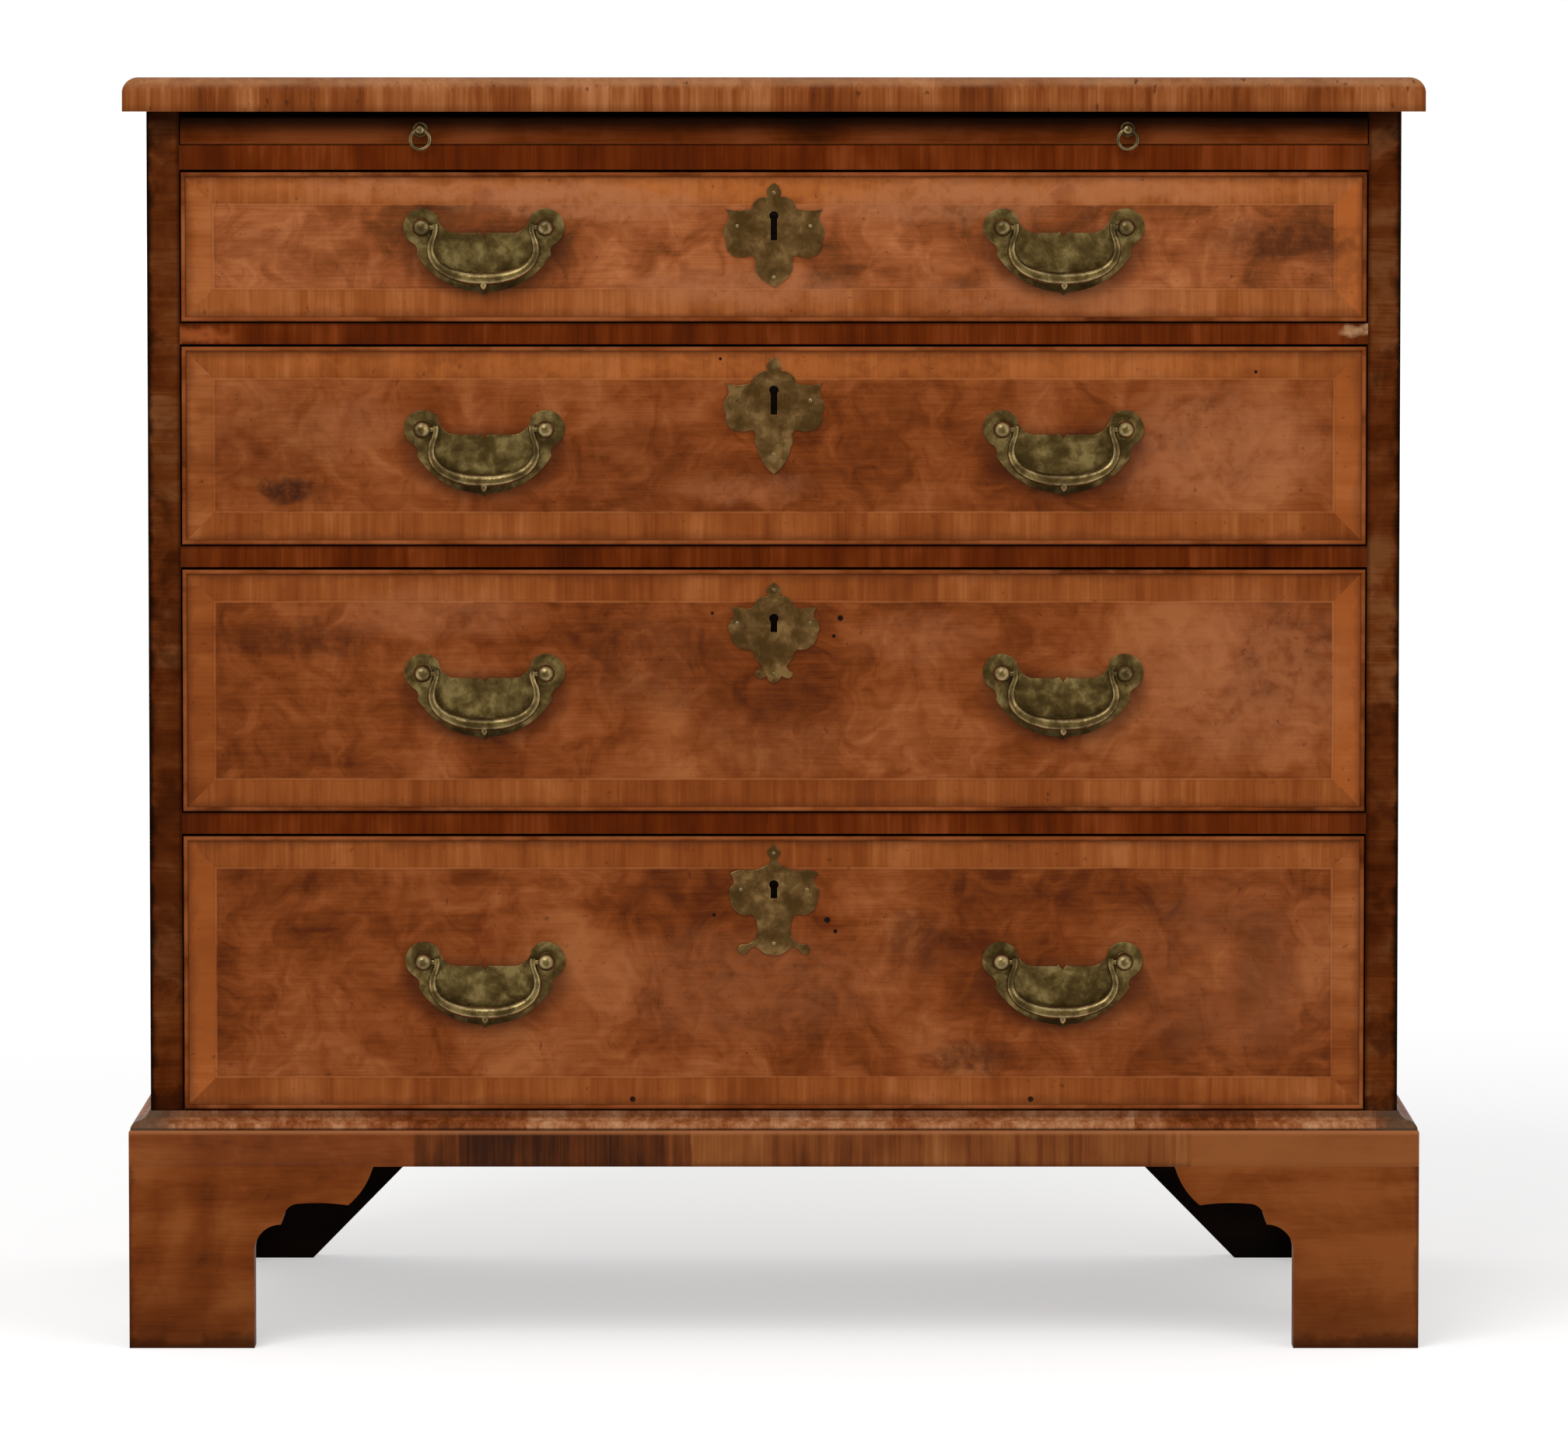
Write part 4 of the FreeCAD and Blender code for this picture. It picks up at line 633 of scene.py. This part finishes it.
def top_moulding_material():
    """Crossgrain leaves with a painted highlight along the crown, darker along the lower edge,
    with a few dark nicks.
    """
    graph = Graph("top_moulding_walnut")
    colour, pores = crossgrain(
        graph, TOP_EDGE_TONES, (7.0, 0.0, 0.1), tone=0.05, leaf=0.05, step=0.22, streak=0.85)
    low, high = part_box("top_moulding")
    # Painted highlight along the crown's outer edge, broken into patches by noise.
    crown = graph.step(graph.z, high.z - 0.007, high.z - 0.003, 0.0, 0.55)
    out_side = graph.math("SUBTRACT", high.x, graph.math("ABSOLUTE", graph.x))
    outer = graph.math("MINIMUM", out_side, graph.math("SUBTRACT", graph.y, low.y))
    crown = graph.math("MULTIPLY", crown, graph.step(outer, 0.003, 0.009, 1.0, 0.1))
    crown_noise = graph.noise(graph.stretched((22.0, 22.0, 60.0)), detail=4.0)
    pale_patches = graph.step(crown_noise, 0.32, 0.6, 0.45, 1.0)
    colour = graph.mix(graph.math("MULTIPLY", crown, pale_patches), colour, srgb(184, 134, 94))
    foot = graph.step(graph.z, low.z, low.z + 0.006, 0.5, 0.0)
    colour = graph.mix(foot, colour, srgb(92, 42, 16))
    nicks = graph.noise(graph.stretched((160.0, 160.0, 90.0)), detail=3.0)
    colour = graph.mix(graph.step(nicks, 0.66, 0.74, 0.0, 0.7), colour, srgb(64, 28, 10))
    return old_polish(graph, colour, pores, roughness=0.38, shine=0.06)


def slide_material():
    """The brushing slide: painted shade under the top's overhang, and a lighter strip along its
    lower edge.
    """
    graph = Graph("slide_walnut")
    colour, pores = walnut(graph, "x", SLIDE_TONES, burl=0.3, shift=(0.6, 0.2, 0.1), tone=0.2)
    low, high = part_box("brushing_slide")
    front = graph.step(graph.y, low.y + 0.006, low.y + 0.01, 1.0, 0.0)
    shade = graph.step(graph.z, high.z - 0.014, high.z - 0.002, 0.0, 0.9)
    colour = graph.mix(graph.math("MULTIPLY", shade, front), colour, srgb(12, 5, 1))
    bead = graph.step(graph.z, low.z, low.z + 0.0025, 0.4, 0.0)
    colour = graph.mix(graph.math("MULTIPLY", bead, front), colour, srgb(122, 66, 34))
    return old_polish(graph, colour, pores, roughness=0.36, shine=0.02)


def base_moulding_material():
    """Worn crossgrain with painted shade in its groove and along its top, and dust in the front
    corners.
    """
    graph = Graph("base_moulding_walnut")
    colour, pores = crossgrain(
        graph, EDGE_TONES, (4.0, 0.0, 0.6), tone=0.0, leaf=0.075, step=0.28, streak=1.0)
    low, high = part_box("base_moulding")
    # Painted shade in the groove along the lower edge.
    groove = graph.step(graph.z, low.z + 0.0002, low.z + 0.0022, 0.9, 0.0)
    colour = graph.mix(groove, colour, srgb(30, 12, 4))
    # Painted shade along the top, in the gap under the case.
    crown = graph.step(graph.z, high.z - 0.0052, high.z - 0.003, 0.0, 0.6)
    colour = graph.mix(crown, colour, srgb(60, 26, 10))
    corner = graph.step(graph.math("ABSOLUTE", graph.x), 0.362, 0.386, 0.0, 0.7)
    near_front = graph.step(graph.y, low.y + 0.012, low.y + 0.04, 1.0, 0.0)
    colour = graph.mix(graph.math("MULTIPLY", corner, near_front), colour, srgb(78, 68, 54))
    return old_polish(graph, colour, pores, roughness=0.42, shine=0.05)


# The leaves of veneer along the plinth's front: where each begins, and how dark or pale it is.
PLINTH_LEAVES = [
    (-0.222, -0.24), (-0.193, -0.40), (-0.124, -0.33), (-0.066, -0.2), (-0.0495, 0.06),
    (0.040, -0.08), (0.0935, 0.08), (0.150, 0.0), (0.205, 0.04),
]
# The foot veneer's place in its figure, which runs on into the ends of the plinth.
FOOT_SHIFT = (0.3, 0.5, 0.2)
# Where the plinth's leaves give way to that figure at its left and right ends.
PLINTH_LEFT_END = (-0.2235, -0.221)
PLINTH_RIGHT_END = (0.256, 0.259)


def plinth_material():
    """Crossgrain leaves between the feet; above them the figure of the feet runs on."""
    graph = Graph("plinth_crossgrain_walnut")
    colour, pores = crossgrain(
        graph, PLINTH_TONES, (9.0, 0.0, 0.2), tone=0.07, leaf=0.05, step=0.12, streak=0.62,
        leaves=PLINTH_LEAVES)
    above_foot, _ = walnut(graph, "x", FOOT_TONES, burl=0.35, shift=FOOT_SHIFT, tone=0.08)
    faded = graph.step(graph.x, 0.0, 0.3, 0.0, 0.55)
    above_foot = graph.mix(faded, above_foot, srgb(152, 92, 46))
    left_end = graph.step(graph.x, *PLINTH_LEFT_END, 1.0, 0.0)
    at_end = graph.math("MAXIMUM", left_end, graph.step(graph.x, *PLINTH_RIGHT_END))
    colour = graph.mix(at_end, colour, above_foot)
    low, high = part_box("plinth_frame")
    # Painted highlight along the top arris.
    arris = graph.step(graph.z, high.z - 0.0035, high.z - 0.0012, 0.0, 0.6)
    colour = graph.mix(arris, colour, srgb(178, 112, 68))
    seam = graph.step(graph.z, low.z, low.z + 0.004, 0.45, 0.0)
    seam = graph.math("MULTIPLY", seam, graph.step(at_end, 0.0, 1.0, 1.0, 0.3))
    colour = graph.mix(seam, colour, srgb(50, 22, 8))
    return old_polish(graph, colour, pores, roughness=0.36, shine=0.08)


# Further in than this from the sides, a rear foot shows its plain board.
BRACKET_THICKNESS = 0.0195


def foot_material(place):
    """Walnut brackets, browner and darker towards the floor; the rear boards are rough at the back
    and painted near black on their other faces, as shade under the chest.
    """
    graph = Graph(f"{place}_foot_walnut")
    colour, pores = walnut(graph, "x", FOOT_TONES, burl=0.35, shift=FOOT_SHIFT, tone=0.1)
    low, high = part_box(f"{place}_foot")
    height = graph.math("MULTIPLY_ADD", graph.noise(graph.position, 26.0, 4.0), 0.05, graph.z)
    colour = graph.mix(graph.step(height, 0.02, 0.085, 0.5, 0.0), colour, srgb(74, 33, 11))
    outer = graph.math("SUBTRACT", max(high.x, -low.x), graph.math("ABSOLUTE", graph.x))
    corner = graph.math("MULTIPLY", darkening_near(graph, outer, 0.004), 0.5)
    colour = graph.mix(corner, colour, srgb(40, 17, 6))
    low_edge = darkening_near(graph, graph.z, 0.012)
    colour = graph.mix(graph.math("MULTIPLY", low_edge, 0.7), colour, srgb(30, 13, 5))
    if place.startswith("rear"):
        grain = graph.noise(graph.stretched(GRAIN_STRETCH["x"]), detail=6.0)
        streaks = graph.step(grain, 0.35, 0.68)
        # Painted shade: near black on the rear boards' inner faces; the back face shows rough
        # wood.
        dark_under_chest = graph.mix(streaks, srgb(15, 7, 4), srgb(31, 17, 9))
        rough = graph.mix(streaks, srgb(74, 49, 29), srgb(120, 84, 51))
        plain = graph.mix(graph.step(graph.y, high.y - 0.004, high.y - 0.001), dark_under_chest, rough)
        inside = graph.math("GREATER_THAN", outer, BRACKET_THICKNESS)
        colour = graph.mix(inside, colour, plain)
    return old_polish(graph, colour, pores, roughness=0.42, shine=0.03)


# ---- Secondary woods ----


def plain_figure(graph, along, light, dark, grime):
    """Colour and pores of a dry unpolished board: long streaks, open pores and a dusty bloom."""
    coarse = graph.warped(graph.stretched(GRAIN_STRETCH[along]), 0.8, 0.8)
    streaks = graph.step(graph.noise(coarse, detail=6.0, roughness=0.6), 0.3, 0.72)
    pores = graph.noise(graph.stretched(PORE_STRETCH[along]), detail=3.0)
    colour = graph.mix(streaks, dark, light)
    colour = graph.mix(graph.step(pores, 0.25, 0.5, 0.5, 0.0), colour, dark)
    dust = graph.noise(graph.position, 9.0, 5.0, 0.6)
    return graph.mix(graph.step(dust, 0.45, 0.75, 0.0, 0.5), colour, grime), pores


def dry_surface(graph, colour, pores):
    """Close the tree of an unpolished wood."""
    roughness = graph.step(pores, 0.2, 0.8, 0.62, 0.78)
    return graph.finish(colour, roughness, pores, bump=0.3, depth=0.0005, Specular_IOR_Level=0.1)


def plain_wood(name, along, light, dark, grime):
    """The material of a dry board whose grain runs along an axis."""
    graph = Graph(name)
    return dry_surface(graph, *plain_figure(graph, along, light, dark, grime))


BACK_BOARDS = 3
# Knots in the back boards: middle and radii.
KNOTS = [
    ((-0.291, 0.598), (0.011, 0.015)),
    ((-0.187, 0.288), (0.009, 0.012)),
    ((-0.045, 0.476), (0.010, 0.014)),
    ((0.071, 0.688), (0.008, 0.011)),
    ((0.212, 0.371), (0.012, 0.016)),
    ((0.318, 0.532), (0.008, 0.012)),
]
# How far the nails are from the boards' ends, and the radii of their heads and rust.
NAIL_INSET = 0.018
NAIL_RADIUS = 0.0019
RUST_RADIUS = 0.0032


def back_board_material():
    """Wide pine boards with open joints, knots, and rusty nails along their ends."""
    graph = Graph("pine_back_boards")
    low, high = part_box("back_boards")
    width = (high.x - low.x) / BACK_BOARDS
    across = graph.math("DIVIDE", graph.math("SUBTRACT", graph.x, low.x), width)
    # Each board takes its figure from another depth, so that none is like the next.
    plain_place = graph.position
    own = graph.add("CombineXYZ")
    graph.feed(own.inputs[0], graph.x)
    depth = graph.math("MULTIPLY_ADD", graph.math("FLOOR", across), 0.7, graph.y)
    graph.feed(own.inputs[1], depth)
    graph.feed(own.inputs[2], graph.z)
    graph.position = own.outputs[0]
    colour, pores = plain_figure(
        graph, "z", srgb(166, 118, 72), srgb(112, 72, 41), srgb(118, 88, 60))
    graph.position = plain_place
    tone = graph.segment_tone(across, 1.0, 5.3)
    colour = graph.mix(graph.step(tone, 0.0, 1.0, 0.0, 0.35), colour, srgb(96, 62, 36))
    joint = graph.math("MULTIPLY", graph.math("PINGPONG", across, 0.5), width)
    colour = graph.mix(graph.step(joint, 0.0004, 0.0016, 0.9, 0.0), colour, SOOT_AND_SHADE)
    for middle, radii in KNOTS:
        halo = blot(graph, middle, (radii[0] * 1.8, radii[1] * 2.6))
        colour = graph.mix(graph.math("MULTIPLY", halo, 0.5), colour, srgb(104, 62, 32))
        knot = graph.math("MULTIPLY", blot(graph, middle, radii), 0.8)
        colour = graph.mix(knot, colour, srgb(62, 33, 16))
    for row in (low.z + NAIL_INSET, high.z - NAIL_INSET):
        for column in range(2 * BACK_BOARDS):
            place = (low.x + width / 2 * (column + 0.5), row)
            colour = graph.mix(mark(graph, place, RUST_RADIUS), colour, srgb(70, 36, 20))
            colour = graph.mix(mark(graph, place, NAIL_RADIUS), colour, srgb(34, 22, 16))
    return dry_surface(graph, colour, pores)


# ---- Metals ----

# Tones of old brass, from the hollows to the best rubbed places.
PLATE_TONES = [
    (0.0, srgb(58, 45, 21)),
    (0.4, srgb(78, 62, 32)),
    (0.75, srgb(94, 78, 43)),
    (1.0, srgb(114, 97, 58)),
]
SHIELD_TONES = [
    (0.0, srgb(64, 45, 20)),
    (0.4, srgb(79, 57, 29)),
    (0.75, srgb(92, 68, 37)),
    (1.0, srgb(112, 86, 50)),
]
RING_TONES = [
    (0.0, srgb(38, 31, 16)),
    (0.5, srgb(60, 50, 28)),
    (1.0, srgb(88, 75, 46)),
]


def brass_material(name, seed, tones=PLATE_TONES, polish=0.0, bail_shade_level=None):
    """Old lacquered brass: olive brown, and brighter along the arrises, partly as wear where hands
    rub it and partly as painted glints.

    Below a given level it is painted nearly black, as shade under the bail.
    """
    graph = Graph(name)
    position = graph.stretched((1.0, 1.0, 1.0), (seed, 0.0, seed))
    cloud = graph.noise(graph.warped(position, 60.0, 0.01), 90.0, 5.0, 0.6)
    grain = graph.noise(position, 900.0, 3.0)
    patina = graph.step(cloud, 0.33, 0.67)
    colour = graph.ramp(patina, tones)
    parts = graph.add("SeparateXYZ")
    graph.feed(parts.inputs[0], graph.normal)
    facing = graph.math("ABSOLUTE", parts.outputs[1])
    turned = graph.step(facing, 0.8, 0.985, 1.0, 0.0)
    arris = graph.math("MULTIPLY", graph.step(facing, 0.25, 0.5), turned)
    # Brighter on the rounded arrises: wear and painted glints.
    rubbed_and_glint = graph.math("MULTIPLY", arris, graph.step(cloud, 0.38, 0.6, 0.15, 0.7))
    colour = graph.mix(rubbed_and_glint, colour, srgb(176, 156, 112))
    if bail_shade_level is not None:
        # Painted shade on the plate under the bail.
        bail_shade = graph.step(graph.z, bail_shade_level - 0.006, bail_shade_level + 0.004, 0.75, 0.0)
        colour = graph.mix(bail_shade, colour, srgb(24, 15, 6))
    dent = graph.noise(graph.warped(position, 120.0, 0.004), 210.0, 2.0)
    roughness = graph.step(cloud, 0.3, 0.7, 0.42 - polish, 0.26 - polish)
    relief = graph.math("MULTIPLY_ADD", grain, 0.15, graph.math("MULTIPLY", dent, 1.5))
    return graph.finish(colour, roughness, relief, bump=0.4, depth=0.0006, Metallic=1.0)


def lock_material():
    """Dull forged iron with rust."""
    graph = Graph("lock_iron")
    cloud = graph.noise(graph.position, 120.0, 6.0, 0.65)
    rust = graph.step(cloud, 0.45, 0.7)
    colour = graph.mix(rust, srgb(36, 31, 27), srgb(70, 42, 25))
    roughness = graph.step(cloud, 0.3, 0.7, 0.45, 0.7)
    return graph.finish(colour, roughness, cloud, bump=0.3, depth=0.0003, Metallic=1.0)


# ---- Dressing the CAD nodes ----


def wear(obj, material):
    """Give an object one material in place of what it has."""
    obj.data.materials.clear()
    obj.data.materials.append(material)


# Vertices closer than this are joined, and faces that meet within these degrees become one.
WELD_DISTANCE = 2e-6
FLAT_BEND = 0.6
# An outer edge whose faces meet at more than these degrees counts as an arris.
ARRIS_BEND = 38.0
# On a plate with rounded arrises, a face whose normal lies this close to Y is flat sheet.
SQUARE_TO_FRONT = 0.9999
# How much the arrises of the plates are rounded.
ESCUTCHEON_ROUNDING = 0.0007
HANDLE_ROUNDING = 0.0008


def is_outer_arris(edge):
    """Whether an edge is an outer corner, sharp enough to be rounded."""
    if len(edge.link_faces) != 2 or not edge.is_convex:
        return False
    return edge.calc_face_angle(0.0) > math.radians(ARRIS_BEND)


def soften(node, material, width=0.0, smooth_below=32.0):
    """Show a copy of a CAD node with joined curves and, given a width, rounded arrises.

    Edges that turn by less than smooth_below degrees are shaded smooth.
    """
    mesh = NODES[node].data.copy()
    mesh.name = f"{node}_surface"
    work = bmesh.new()
    work.from_mesh(mesh)
    bmesh.ops.remove_doubles(work, verts=work.verts, dist=WELD_DISTANCE)
    bmesh.ops.dissolve_limit(
        work, angle_limit=math.radians(FLAT_BEND), verts=work.verts, edges=work.edges,
        delimit={"NORMAL"})
    if width:
        arrises = [edge for edge in work.edges if is_outer_arris(edge)]
        bmesh.ops.bevel(
            work, geom=arrises, offset=width, offset_type="OFFSET", segments=2, profile=0.5,
            affect="EDGES", clamp_overlap=True)
    for face in work.faces:
        face.smooth = not width or abs(face.normal.y) < SQUARE_TO_FRONT
    bmesh.ops.triangulate(work, faces=[face for face in work.faces if len(face.verts) > 4])
    limit = math.radians(smooth_below)
    for edge in work.edges:
        edge.smooth = len(edge.link_faces) == 2 and edge.calc_face_angle(0.0) < limit
    work.to_mesh(mesh)
    work.free()
    piece = bpy.data.objects.new(f"{node}_dressed", mesh)
    bpy.context.scene.collection.objects.link(piece)
    flat = piece.modifiers.new("flat_faces", "WEIGHTED_NORMAL")
    flat.keep_sharp = True
    flat.weight = 90
    wear(piece, material)
    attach(piece, NODES[node]["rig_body"])
    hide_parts(node)


def turned_piece(name, profile, steps):
    """A solid turned about the Y axis from (radius, y) points that start and end on the axis."""
    work = bmesh.new()
    vertices = [work.verts.new((radius, along, 0.0)) for radius, along in profile]
    edges = [work.edges.new(pair) for pair in zip(vertices, vertices[1:])]
    bmesh.ops.spin(
        work, geom=vertices + edges, cent=(0.0, 0.0, 0.0), axis=(0.0, 1.0, 0.0),
        angle=math.tau, steps=steps, use_merge=True, use_duplicate=False)
    bmesh.ops.remove_doubles(work, verts=work.verts, dist=WELD_DISTANCE)
    bmesh.ops.recalc_face_normals(work, faces=work.faces)
    for face in work.faces:
        face.smooth = True
    mesh = bpy.data.meshes.new(name)
    work.to_mesh(mesh)
    work.free()
    piece = bpy.data.objects.new(name, mesh)
    bpy.context.scene.collection.objects.link(piece)
    return piece


# The domed nails that hold the escutcheons.
PIN_RADIUS = 0.0013
PIN_RISE = 0.0008
PIN_SHANK_RADIUS = 0.45 * PIN_RADIUS
PIN_SHANK = 0.0009
PIN_STEPS = 16
DOME_STEPS = 5
# Where they sit on each escutcheon, from the keyhole's middle: across and up.
PIN_PLACES = {
    1: [(0.0, 0.0205), (0.0, -0.0315), (-0.0225, 0.0), (0.0225, 0.0)],
    2: [(0.0, 0.0205), (0.0, -0.0335), (-0.0225, 0.0), (0.0225, 0.0)],
    3: [(0.0, 0.0205), (0.0, -0.0315), (-0.0225, 0.0), (0.0225, 0.0)],
    4: [(0.0, 0.0225), (0.0, -0.0335), (-0.0205, 0.0), (0.0205, 0.0)],
}
# How far each keyhole's middle is below the top of its drawer front.
KEYHOLE_DROP = 0.033


def pin_profile():
    """Half section of a domed nail: its rounded head in front of a shank."""
    points = [(0.0, -PIN_RISE)]
    for index in range(1, DOME_STEPS + 1):
        angle = math.radians(90.0 / DOME_STEPS * index)
        points.append((PIN_RADIUS * math.sin(angle), -PIN_RISE * math.cos(angle)))
    points += [(PIN_SHANK_RADIUS, 0.0), (PIN_SHANK_RADIUS, PIN_SHANK), (0.0, PIN_SHANK)]
    return points


def add_escutcheon_pins(number, material):
    """Small domed brass nails that hold an escutcheon."""
    name = f"drawer_{number}"
    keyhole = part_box(f"{name}_front")[1].z - KEYHOLE_DROP
    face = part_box(f"{name}_escutcheon")[0].y
    for index, (across, up) in enumerate(PIN_PLACES[number], start=1):
        pin = turned_piece(f"{name}_escutcheon_pin_{index}", pin_profile(), PIN_STEPS)
        pin.data.transform(Matrix.Translation((across, face, keyhole + up)))
        wear(pin, material)
        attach(pin, name)


# A handle's plate is painted near black, as shade under its bail, from this far below its posts.
BAIL_SHADE_DROP = 0.034


def dress_drawers():
    """Veneer, linings, locks and brass of the four drawers, each with its own figure."""
    oak_sides = plain_wood(
        "oak_drawer_sides", "y", srgb(168, 116, 66), srgb(112, 72, 38), srgb(132, 94, 58))
    oak_bottom = plain_wood(
        "oak_drawer_bottoms", "y", srgb(172, 122, 74), srgb(118, 78, 44), srgb(138, 102, 68))
    lock = lock_material()
    for number in DRAWERS:
        name = f"drawer_{number}"
        wear(NODES[f"{name}_front"], drawer_front_material(number))
        soften(f"{name}_cockbeads", cockbead_material(number))
        wear(NODES[f"{name}_sides_and_back"], oak_sides)
        wear(NODES[f"{name}_bottom"], oak_bottom)
        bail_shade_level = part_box(f"{name}_bail_left")[1].z - BAIL_SHADE_DROP
        plate = brass_material(f"{name}_brass_plates", 0.31 * number, bail_shade_level=bail_shade_level)
        shield = brass_material(f"{name}_brass_escutcheon", 0.23 * number, SHIELD_TONES)
        grip = brass_material(f"{name}_brass_grips", 0.47 * number, polish=0.04)
        soften(f"{name}_escutcheon", shield, width=ESCUTCHEON_ROUNDING)
        soften(f"{name}_handle_mounts", plate, width=HANDLE_ROUNDING)
        for side in ("left", "right"):
            soften(f"{name}_bail_{side}", grip, smooth_below=50.0)
        add_escutcheon_pins(number, grip)
        wear(NODES[f"{name}_lock_case"], lock)
        wear(NODES[f"{name}_lock_bolt"], lock)


def dress_case():
    """Everything that isn't part of a drawer, the brushing slide included."""
    flanks = case_side_material()
    wear(NODES["case_side_left"], flanks)
    wear(NODES["case_side_right"], flanks)
    wear(NODES["drawer_rails"], rail_material())
    wear(NODES["top_board"], top_material())
    soften("top_moulding", top_moulding_material())
    soften("base_moulding", base_moulding_material())
    soften("plinth_frame", plinth_material())
    for place in ("front_left", "front_right", "rear_left", "rear_right"):
        soften(f"{place}_foot", foot_material(place))
    soften("brushing_slide", slide_material())
    rings = brass_material("slide_ring_brass", 0.9, RING_TONES)
    for node in ("slide_ring_posts", "slide_ring_left", "slide_ring_right"):
        soften(node, rings, smooth_below=45.0)
    wear(NODES["back_boards"], back_board_material())
    pine_flat = plain_wood(
        "pine_dust_boards", "x", srgb(150, 106, 66), srgb(98, 66, 39), srgb(112, 86, 60))
    for node in ("dust_boards", "case_bottom", "drawer_stops"):
        wear(NODES[node], pine_flat)
    dark_under_chest = plain_wood(
        "pine_foot_blocks", "z", srgb(52, 32, 18), srgb(30, 18, 9), srgb(44, 30, 20))
    wear(NODES["foot_blocks"], dark_under_chest)


# ---- Studio ----

FLOOR_REACH = 40.0
FLOOR_WHITE = (0.86, 0.86, 0.86, 1.0)
# What the floor adds to its own light where it is seen, so that it reads as white: less near the
# chest, where the lamps help it, than far from it, with the distances between which that changes.
NEAR_GLOW = 0.5
FAR_GLOW = 0.75
GLOW_REACH = (1.0, 4.0)
# The strength of the white sky where it only lights things; where it is seen, it is 1.
SKY_STRENGTH = 0.44
# Square lamps: place, side and power. Both face the chest's middle.
LAMPS = {
    "key": ((-1.3, -3.2, 3.2), 2.2, 68.0),
    "fill": ((2.4, -3.6, 1.6), 2.0, 26.0),
}
LAMP_TARGET = (0.0, 0.0, 0.4)


def floor_material():
    """Matt white that reads as white where it is seen and still takes the object's shadow."""
    graph = Graph("studio_white")
    plain = graph.add("BsdfDiffuse")
    plain.inputs["Color"].default_value = FLOOR_WHITE
    glow = graph.add("Emission")
    distance = graph.add("VectorMath", operation="LENGTH")
    graph.feed(distance.inputs[0], graph.position)
    level = graph.step(distance.outputs["Value"], *GLOW_REACH, NEAR_GLOW, FAR_GLOW)
    graph.feed(glow.inputs["Strength"], graph.math("MULTIPLY", graph.seen_ray(), level))
    together = graph.add("AddShader")
    graph.feed(together.inputs[0], plain.outputs[0])
    graph.feed(together.inputs[1], glow.outputs[0])
    output = graph.add("OutputMaterial")
    graph.feed(output.inputs["Surface"], together.outputs[0])
    return graph.material


def build_floor():
    """A wide level floor; beyond it is the white of the world."""
    mesh = bpy.data.meshes.new("studio_floor")
    corners = [
        (across * FLOOR_REACH, along * FLOOR_REACH, 0.0)
        for across, along in ((-1, -1), (1, -1), (1, 1), (-1, 1))]
    mesh.from_pydata(corners, [], [(0, 1, 2, 3)])
    floor = bpy.data.objects.new("studio_floor", mesh)
    bpy.context.scene.collection.objects.link(floor)
    wear(floor, floor_material())


def add_lamp(name, place, side, power):
    """A square area light that faces the chest."""
    light = bpy.data.lights.new(name, "AREA")
    light.shape = "SQUARE"
    light.size = side
    light.energy = power
    lamp = bpy.data.objects.new(name, light)
    lamp.location = place
    facing = Vector(LAMP_TARGET) - Vector(place)
    lamp.rotation_euler = facing.to_track_quat("-Z", "Y").to_euler()
    bpy.context.scene.collection.objects.link(lamp)


def light_scene():
    """Two soft lamps under a white sky that lights less than it shows."""
    world = bpy.data.worlds.new("studio")
    sky = Nodes(world)
    background = sky.add("Background")
    background.inputs["Color"].default_value = (1.0, 1.0, 1.0, 1.0)
    strength = sky.math("MULTIPLY_ADD", sky.seen_ray(), 1.0 - SKY_STRENGTH, SKY_STRENGTH)
    sky.feed(background.inputs["Strength"], strength)
    output = sky.add("OutputWorld")
    sky.feed(output.inputs["Surface"], background.outputs[0])
    bpy.context.scene.world = world
    for name, lamp in LAMPS.items():
        add_lamp(name, *lamp)
    bpy.context.scene.view_settings.view_transform = "Standard"


# The photograph's frame in pixels, and the chest's place in it.
FRAME_WIDTH = 2016
FRAME_HEIGHT = 1842
PIXELS_PER_METRE = 2081.0
TOP_ROW = 99
FLOOR_ROW = 1733
MIDDLE_COLUMN = 995
# How far the camera is from the front, and how far it sees.
CAMERA_DISTANCE = 5.7
CAMERA_REACH = 200.0
SENSOR_WIDTH = 36.0


def place_camera():
    """The camera is level with the top and looks down to the middle of the photograph's frame.

    The cosine in its lens keeps heights true where that line of sight meets the front.
    """
    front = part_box("front_left_foot")[0].y
    height = (FLOOR_ROW - TOP_ROW) / PIXELS_PER_METRE
    focal_pixels = PIXELS_PER_METRE * CAMERA_DISTANCE
    above_middle = (FRAME_HEIGHT - TOP_ROW - FLOOR_ROW) / 2
    pitch = math.atan(height / CAMERA_DISTANCE) / 2 + math.atan(above_middle / focal_pixels)
    data = bpy.data.cameras.new("photo_camera")
    data.sensor_width = SENSOR_WIDTH
    data.sensor_fit = "HORIZONTAL"
    data.lens = focal_pixels / math.cos(pitch) ** 2 / FRAME_WIDTH * SENSOR_WIDTH
    data.shift_x = (FRAME_WIDTH / 2 - MIDDLE_COLUMN) / FRAME_WIDTH
    data.clip_end = CAMERA_REACH
    camera = bpy.data.objects.new("photo_camera", data)
    camera.location = (0.0, front - CAMERA_DISTANCE, height)
    camera.rotation_euler = (math.radians(90.0) - pitch, 0.0, 0.0)
    bpy.context.scene.collection.objects.link(camera)
    bpy.context.scene.camera = camera


dress_case()
dress_drawers()
build_floor()
light_scene()
place_camera()
